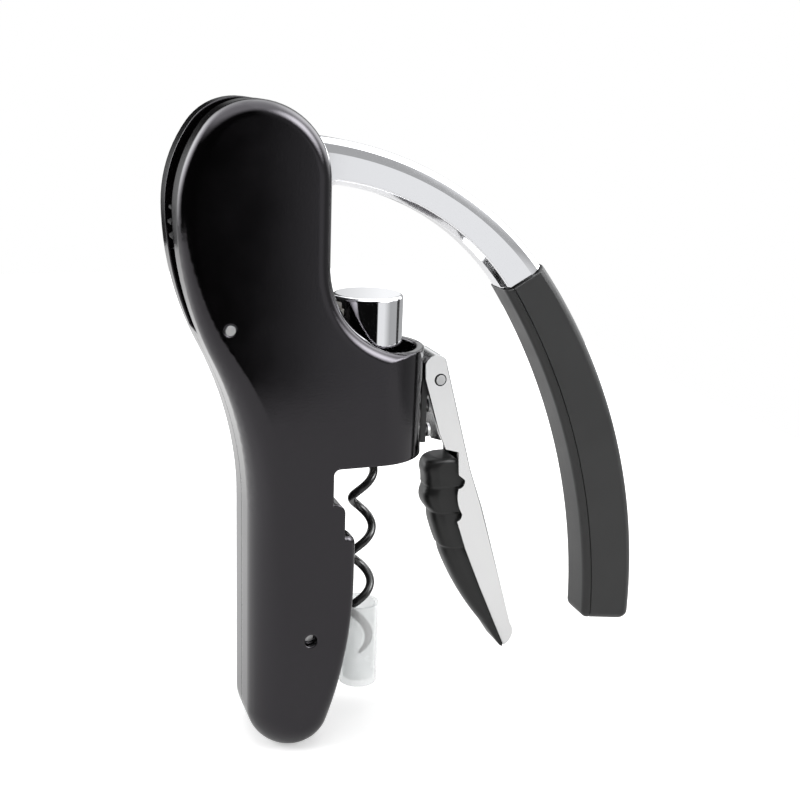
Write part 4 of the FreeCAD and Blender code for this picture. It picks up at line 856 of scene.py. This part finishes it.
def make_floor():
    """White table under the object; past the shadow's reach the camera sees it as plain white."""
    mesh = bpy.data.meshes.new("studio_floor")
    corners = [(TABLE_LEFT, TABLE_FRONT, FLOOR_Z), (TABLE_RIGHT, TABLE_FRONT, FLOOR_Z),
               (TABLE_RIGHT, TABLE_BACK, FLOOR_Z), (TABLE_LEFT, TABLE_BACK, FLOOR_Z)]
    mesh.from_pydata(corners, [], [(0, 1, 2, 3)])
    floor = add_piece("studio_floor", mesh, make_floor_material())


CEILING_LEVEL = 3.0
CEILING_FROM, CEILING_FULL = 0.52, 0.80     # the ceiling grows to that level between these heights
WALL_LEVEL = 0.45       # brightness of the pale walls
TABLE_LEVEL = 0.95      # brightness below the horizon on both sides of the unlit part
TABLE_SPREAD = (-0.2, 0.2)      # it comes in between these cosines of the angle to that part's middle
HORIZON = (-0.03, 0.04)         # heights between which the table gives way to the walls
DARK_LEVEL = 0.003      # brightness of the unlit part of the room
DARK_MIDDLE = -41       # degrees right of the front: its middle
DARK_HALF = 55          # its half width, past which it fades into the walls
DARK_FADE = 3
BACK_LEVEL = 0.02       # brightness of the wall behind the object
BACK_MIDDLE, BACK_HALF, BACK_FADE = 176, 12, 7      # middle, half width and fade of that part
PATCH_CORE = 4          # degrees from a softbox's middle that are at full brightness
SOFT_PATCHES = [        # azimuth, elevation, edge, brightness
    (-130, 22, 40, 6.3),
    (49, 28, 27, 17.0),
    (103, 30, 40, 6.0),
    (161, 14, 16, 0.65),
]


def near_direction(tree, vector, target, core, edge, inside, outside):
    """One value within core degrees of a direction, fading to another at edge degrees from it."""
    return ranged(tree, toward(tree, vector, target), math.cos(math.radians(edge)),
                  math.cos(math.radians(core)), outside, inside)


def soft_patch(tree, vector, azimuth, elevation, edge, level):
    """A softbox in the surroundings, brightest in its middle and gone at edge degrees from it."""
    root = near_direction(tree, vector, compass(azimuth, elevation), PATCH_CORE, edge,
                          math.sqrt(level), 0.0)
    return combined(tree, "MULTIPLY", root, root)


def mirrored_studio(tree):
    """Brightness that polished faces mirror: ceiling, softboxes, pale walls and an unlit front left."""
    direction = tree.nodes.new("ShaderNodeTexCoord").outputs["Generated"]
    split = tree.nodes.new("ShaderNodeSeparateXYZ")
    tree.links.new(direction, split.inputs["Vector"])
    ceiling = ranged(tree, split.outputs["Z"], CEILING_FROM, CEILING_FULL, 0.0, CEILING_LEVEL)
    level = tree.nodes.new("ShaderNodeVectorMath")
    level.operation = "MULTIPLY"
    tree.links.new(direction, level.inputs[0])
    level.inputs[1].default_value = (1, 1, 0)
    unit = tree.nodes.new("ShaderNodeVectorMath")
    unit.operation = "NORMALIZE"
    tree.links.new(level.outputs["Vector"], unit.inputs[0])
    heading = unit.outputs["Vector"]
    dark = compass(DARK_MIDDLE, 0)
    low_wall = ranged(tree, toward(tree, heading, dark), *TABLE_SPREAD, WALL_LEVEL, TABLE_LEVEL)
    lit_wall = ranged(tree, split.outputs["Z"], *HORIZON, low_wall, WALL_LEVEL)
    walls = near_direction(tree, heading, dark, DARK_HALF, DARK_HALF + DARK_FADE, DARK_LEVEL, lit_wall)
    behind = near_direction(tree, heading, compass(BACK_MIDDLE, 0), BACK_HALF, BACK_HALF + BACK_FADE,
                            BACK_LEVEL, 1.0)
    patches = [soft_patch(tree, direction, *patch) for patch in SOFT_PATCHES]
    return combined(tree, "ADD", combined(tree, "MINIMUM", walls, behind), ceiling, *patches)


AMBIENT = 0.6           # brightness of the even light on the object


def make_world():
    """Soft even light; white behind the object; reflections see the studio round it."""
    world = bpy.data.worlds.new("studio_world")
    bpy.context.scene.world = world
    world.use_nodes = True
    tree = world.node_tree
    tree.nodes.clear()
    link = tree.links.new
    path = tree.nodes.new("ShaderNodeLightPath")
    lit = add_node(tree, "ShaderNodeBackground", Color=(1, 1, 1, 1), Strength=AMBIENT)
    white = add_node(tree, "ShaderNodeBackground", Color=(1, 1, 1, 1), Strength=1.0)
    mirrored = add_node(tree, "ShaderNodeBackground", Color=(0.98, 0.99, 1.0, 1))
    link(mirrored_studio(tree), mirrored.inputs["Strength"])
    glossy = tree.nodes.new("ShaderNodeMixShader")
    link(path.outputs["Is Glossy Ray"], glossy.inputs["Fac"])
    link(lit.outputs["Background"], glossy.inputs[1])
    link(mirrored.outputs["Background"], glossy.inputs[2])
    seen = combined(tree, "MAXIMUM", path.outputs["Is Camera Ray"], path.outputs["Is Transmission Ray"])
    final = tree.nodes.new("ShaderNodeMixShader")
    link(seen, final.inputs["Fac"])
    link(glossy.outputs["Shader"], final.inputs[1])
    link(white.outputs["Background"], final.inputs[2])
    end = tree.nodes.new("ShaderNodeOutputWorld")
    link(final.outputs["Shader"], end.inputs["Surface"])


SOFTBOXES = {           # place, side and power of each
    "left_softbox": ((-0.75, 0.10, 0.42), 0.5, 4.0),
    "top_softbox": ((0.0, -0.2, 1.2), 0.9, 4.5),
    "right_softbox": ((0.85, -0.75, 0.6), 0.5, 3.5),
}
LIT_POINT = (0.02, 0, 0.0)      # what they face


def make_softbox(name, place, side, power):
    """A square lamp; the surroundings already carry its reflection."""
    lamp = bpy.data.lights.new(name, "AREA")
    lamp.shape = "RECTANGLE"
    lamp.size, lamp.size_y = side, side
    lamp.energy = power
    softbox = bpy.data.objects.new(name, lamp)
    bpy.context.scene.collection.objects.link(softbox)
    softbox.location = place
    softbox.rotation_mode = "QUATERNION"
    softbox.rotation_quaternion = (Vector(LIT_POINT) - Vector(place)).to_track_quat("-Z", "Y")
    softbox.visible_glossy = False


SENSOR_WIDTH, FOCAL_LENGTH = 36.0, 52.94        # in mm
CAMERA_PLACE = (-0.11361, -0.33628, 0.11471)
CAMERA_RIGHT = (0.93981, -0.33993, 0.03480)
CAMERA_UP = (0.05934, 0.26265, 0.96307)
CLIP_NEAR, CLIP_FAR = 0.01, 20.0


def make_camera():
    """Camera in front, a little to the left of the object and above its middle, slightly rolled."""
    lens = bpy.data.cameras.new("view_camera")
    lens.sensor_width = SENSOR_WIDTH
    lens.lens = FOCAL_LENGTH
    lens.clip_start, lens.clip_end = CLIP_NEAR, CLIP_FAR
    camera = bpy.data.objects.new("view_camera", lens)
    bpy.context.scene.collection.objects.link(camera)
    right, up = Vector(CAMERA_RIGHT), Vector(CAMERA_UP)
    turn = Matrix((right, up, right.cross(up))).transposed().to_4x4()
    camera.matrix_world = Matrix.Translation(CAMERA_PLACE) @ turn
    bpy.context.scene.camera = camera


make_floor()
make_world()
for name, (place, side, power) in SOFTBOXES.items():
    make_softbox(name, place, side, power)
make_camera()
bpy.context.scene.view_settings.view_transform = "Standard"
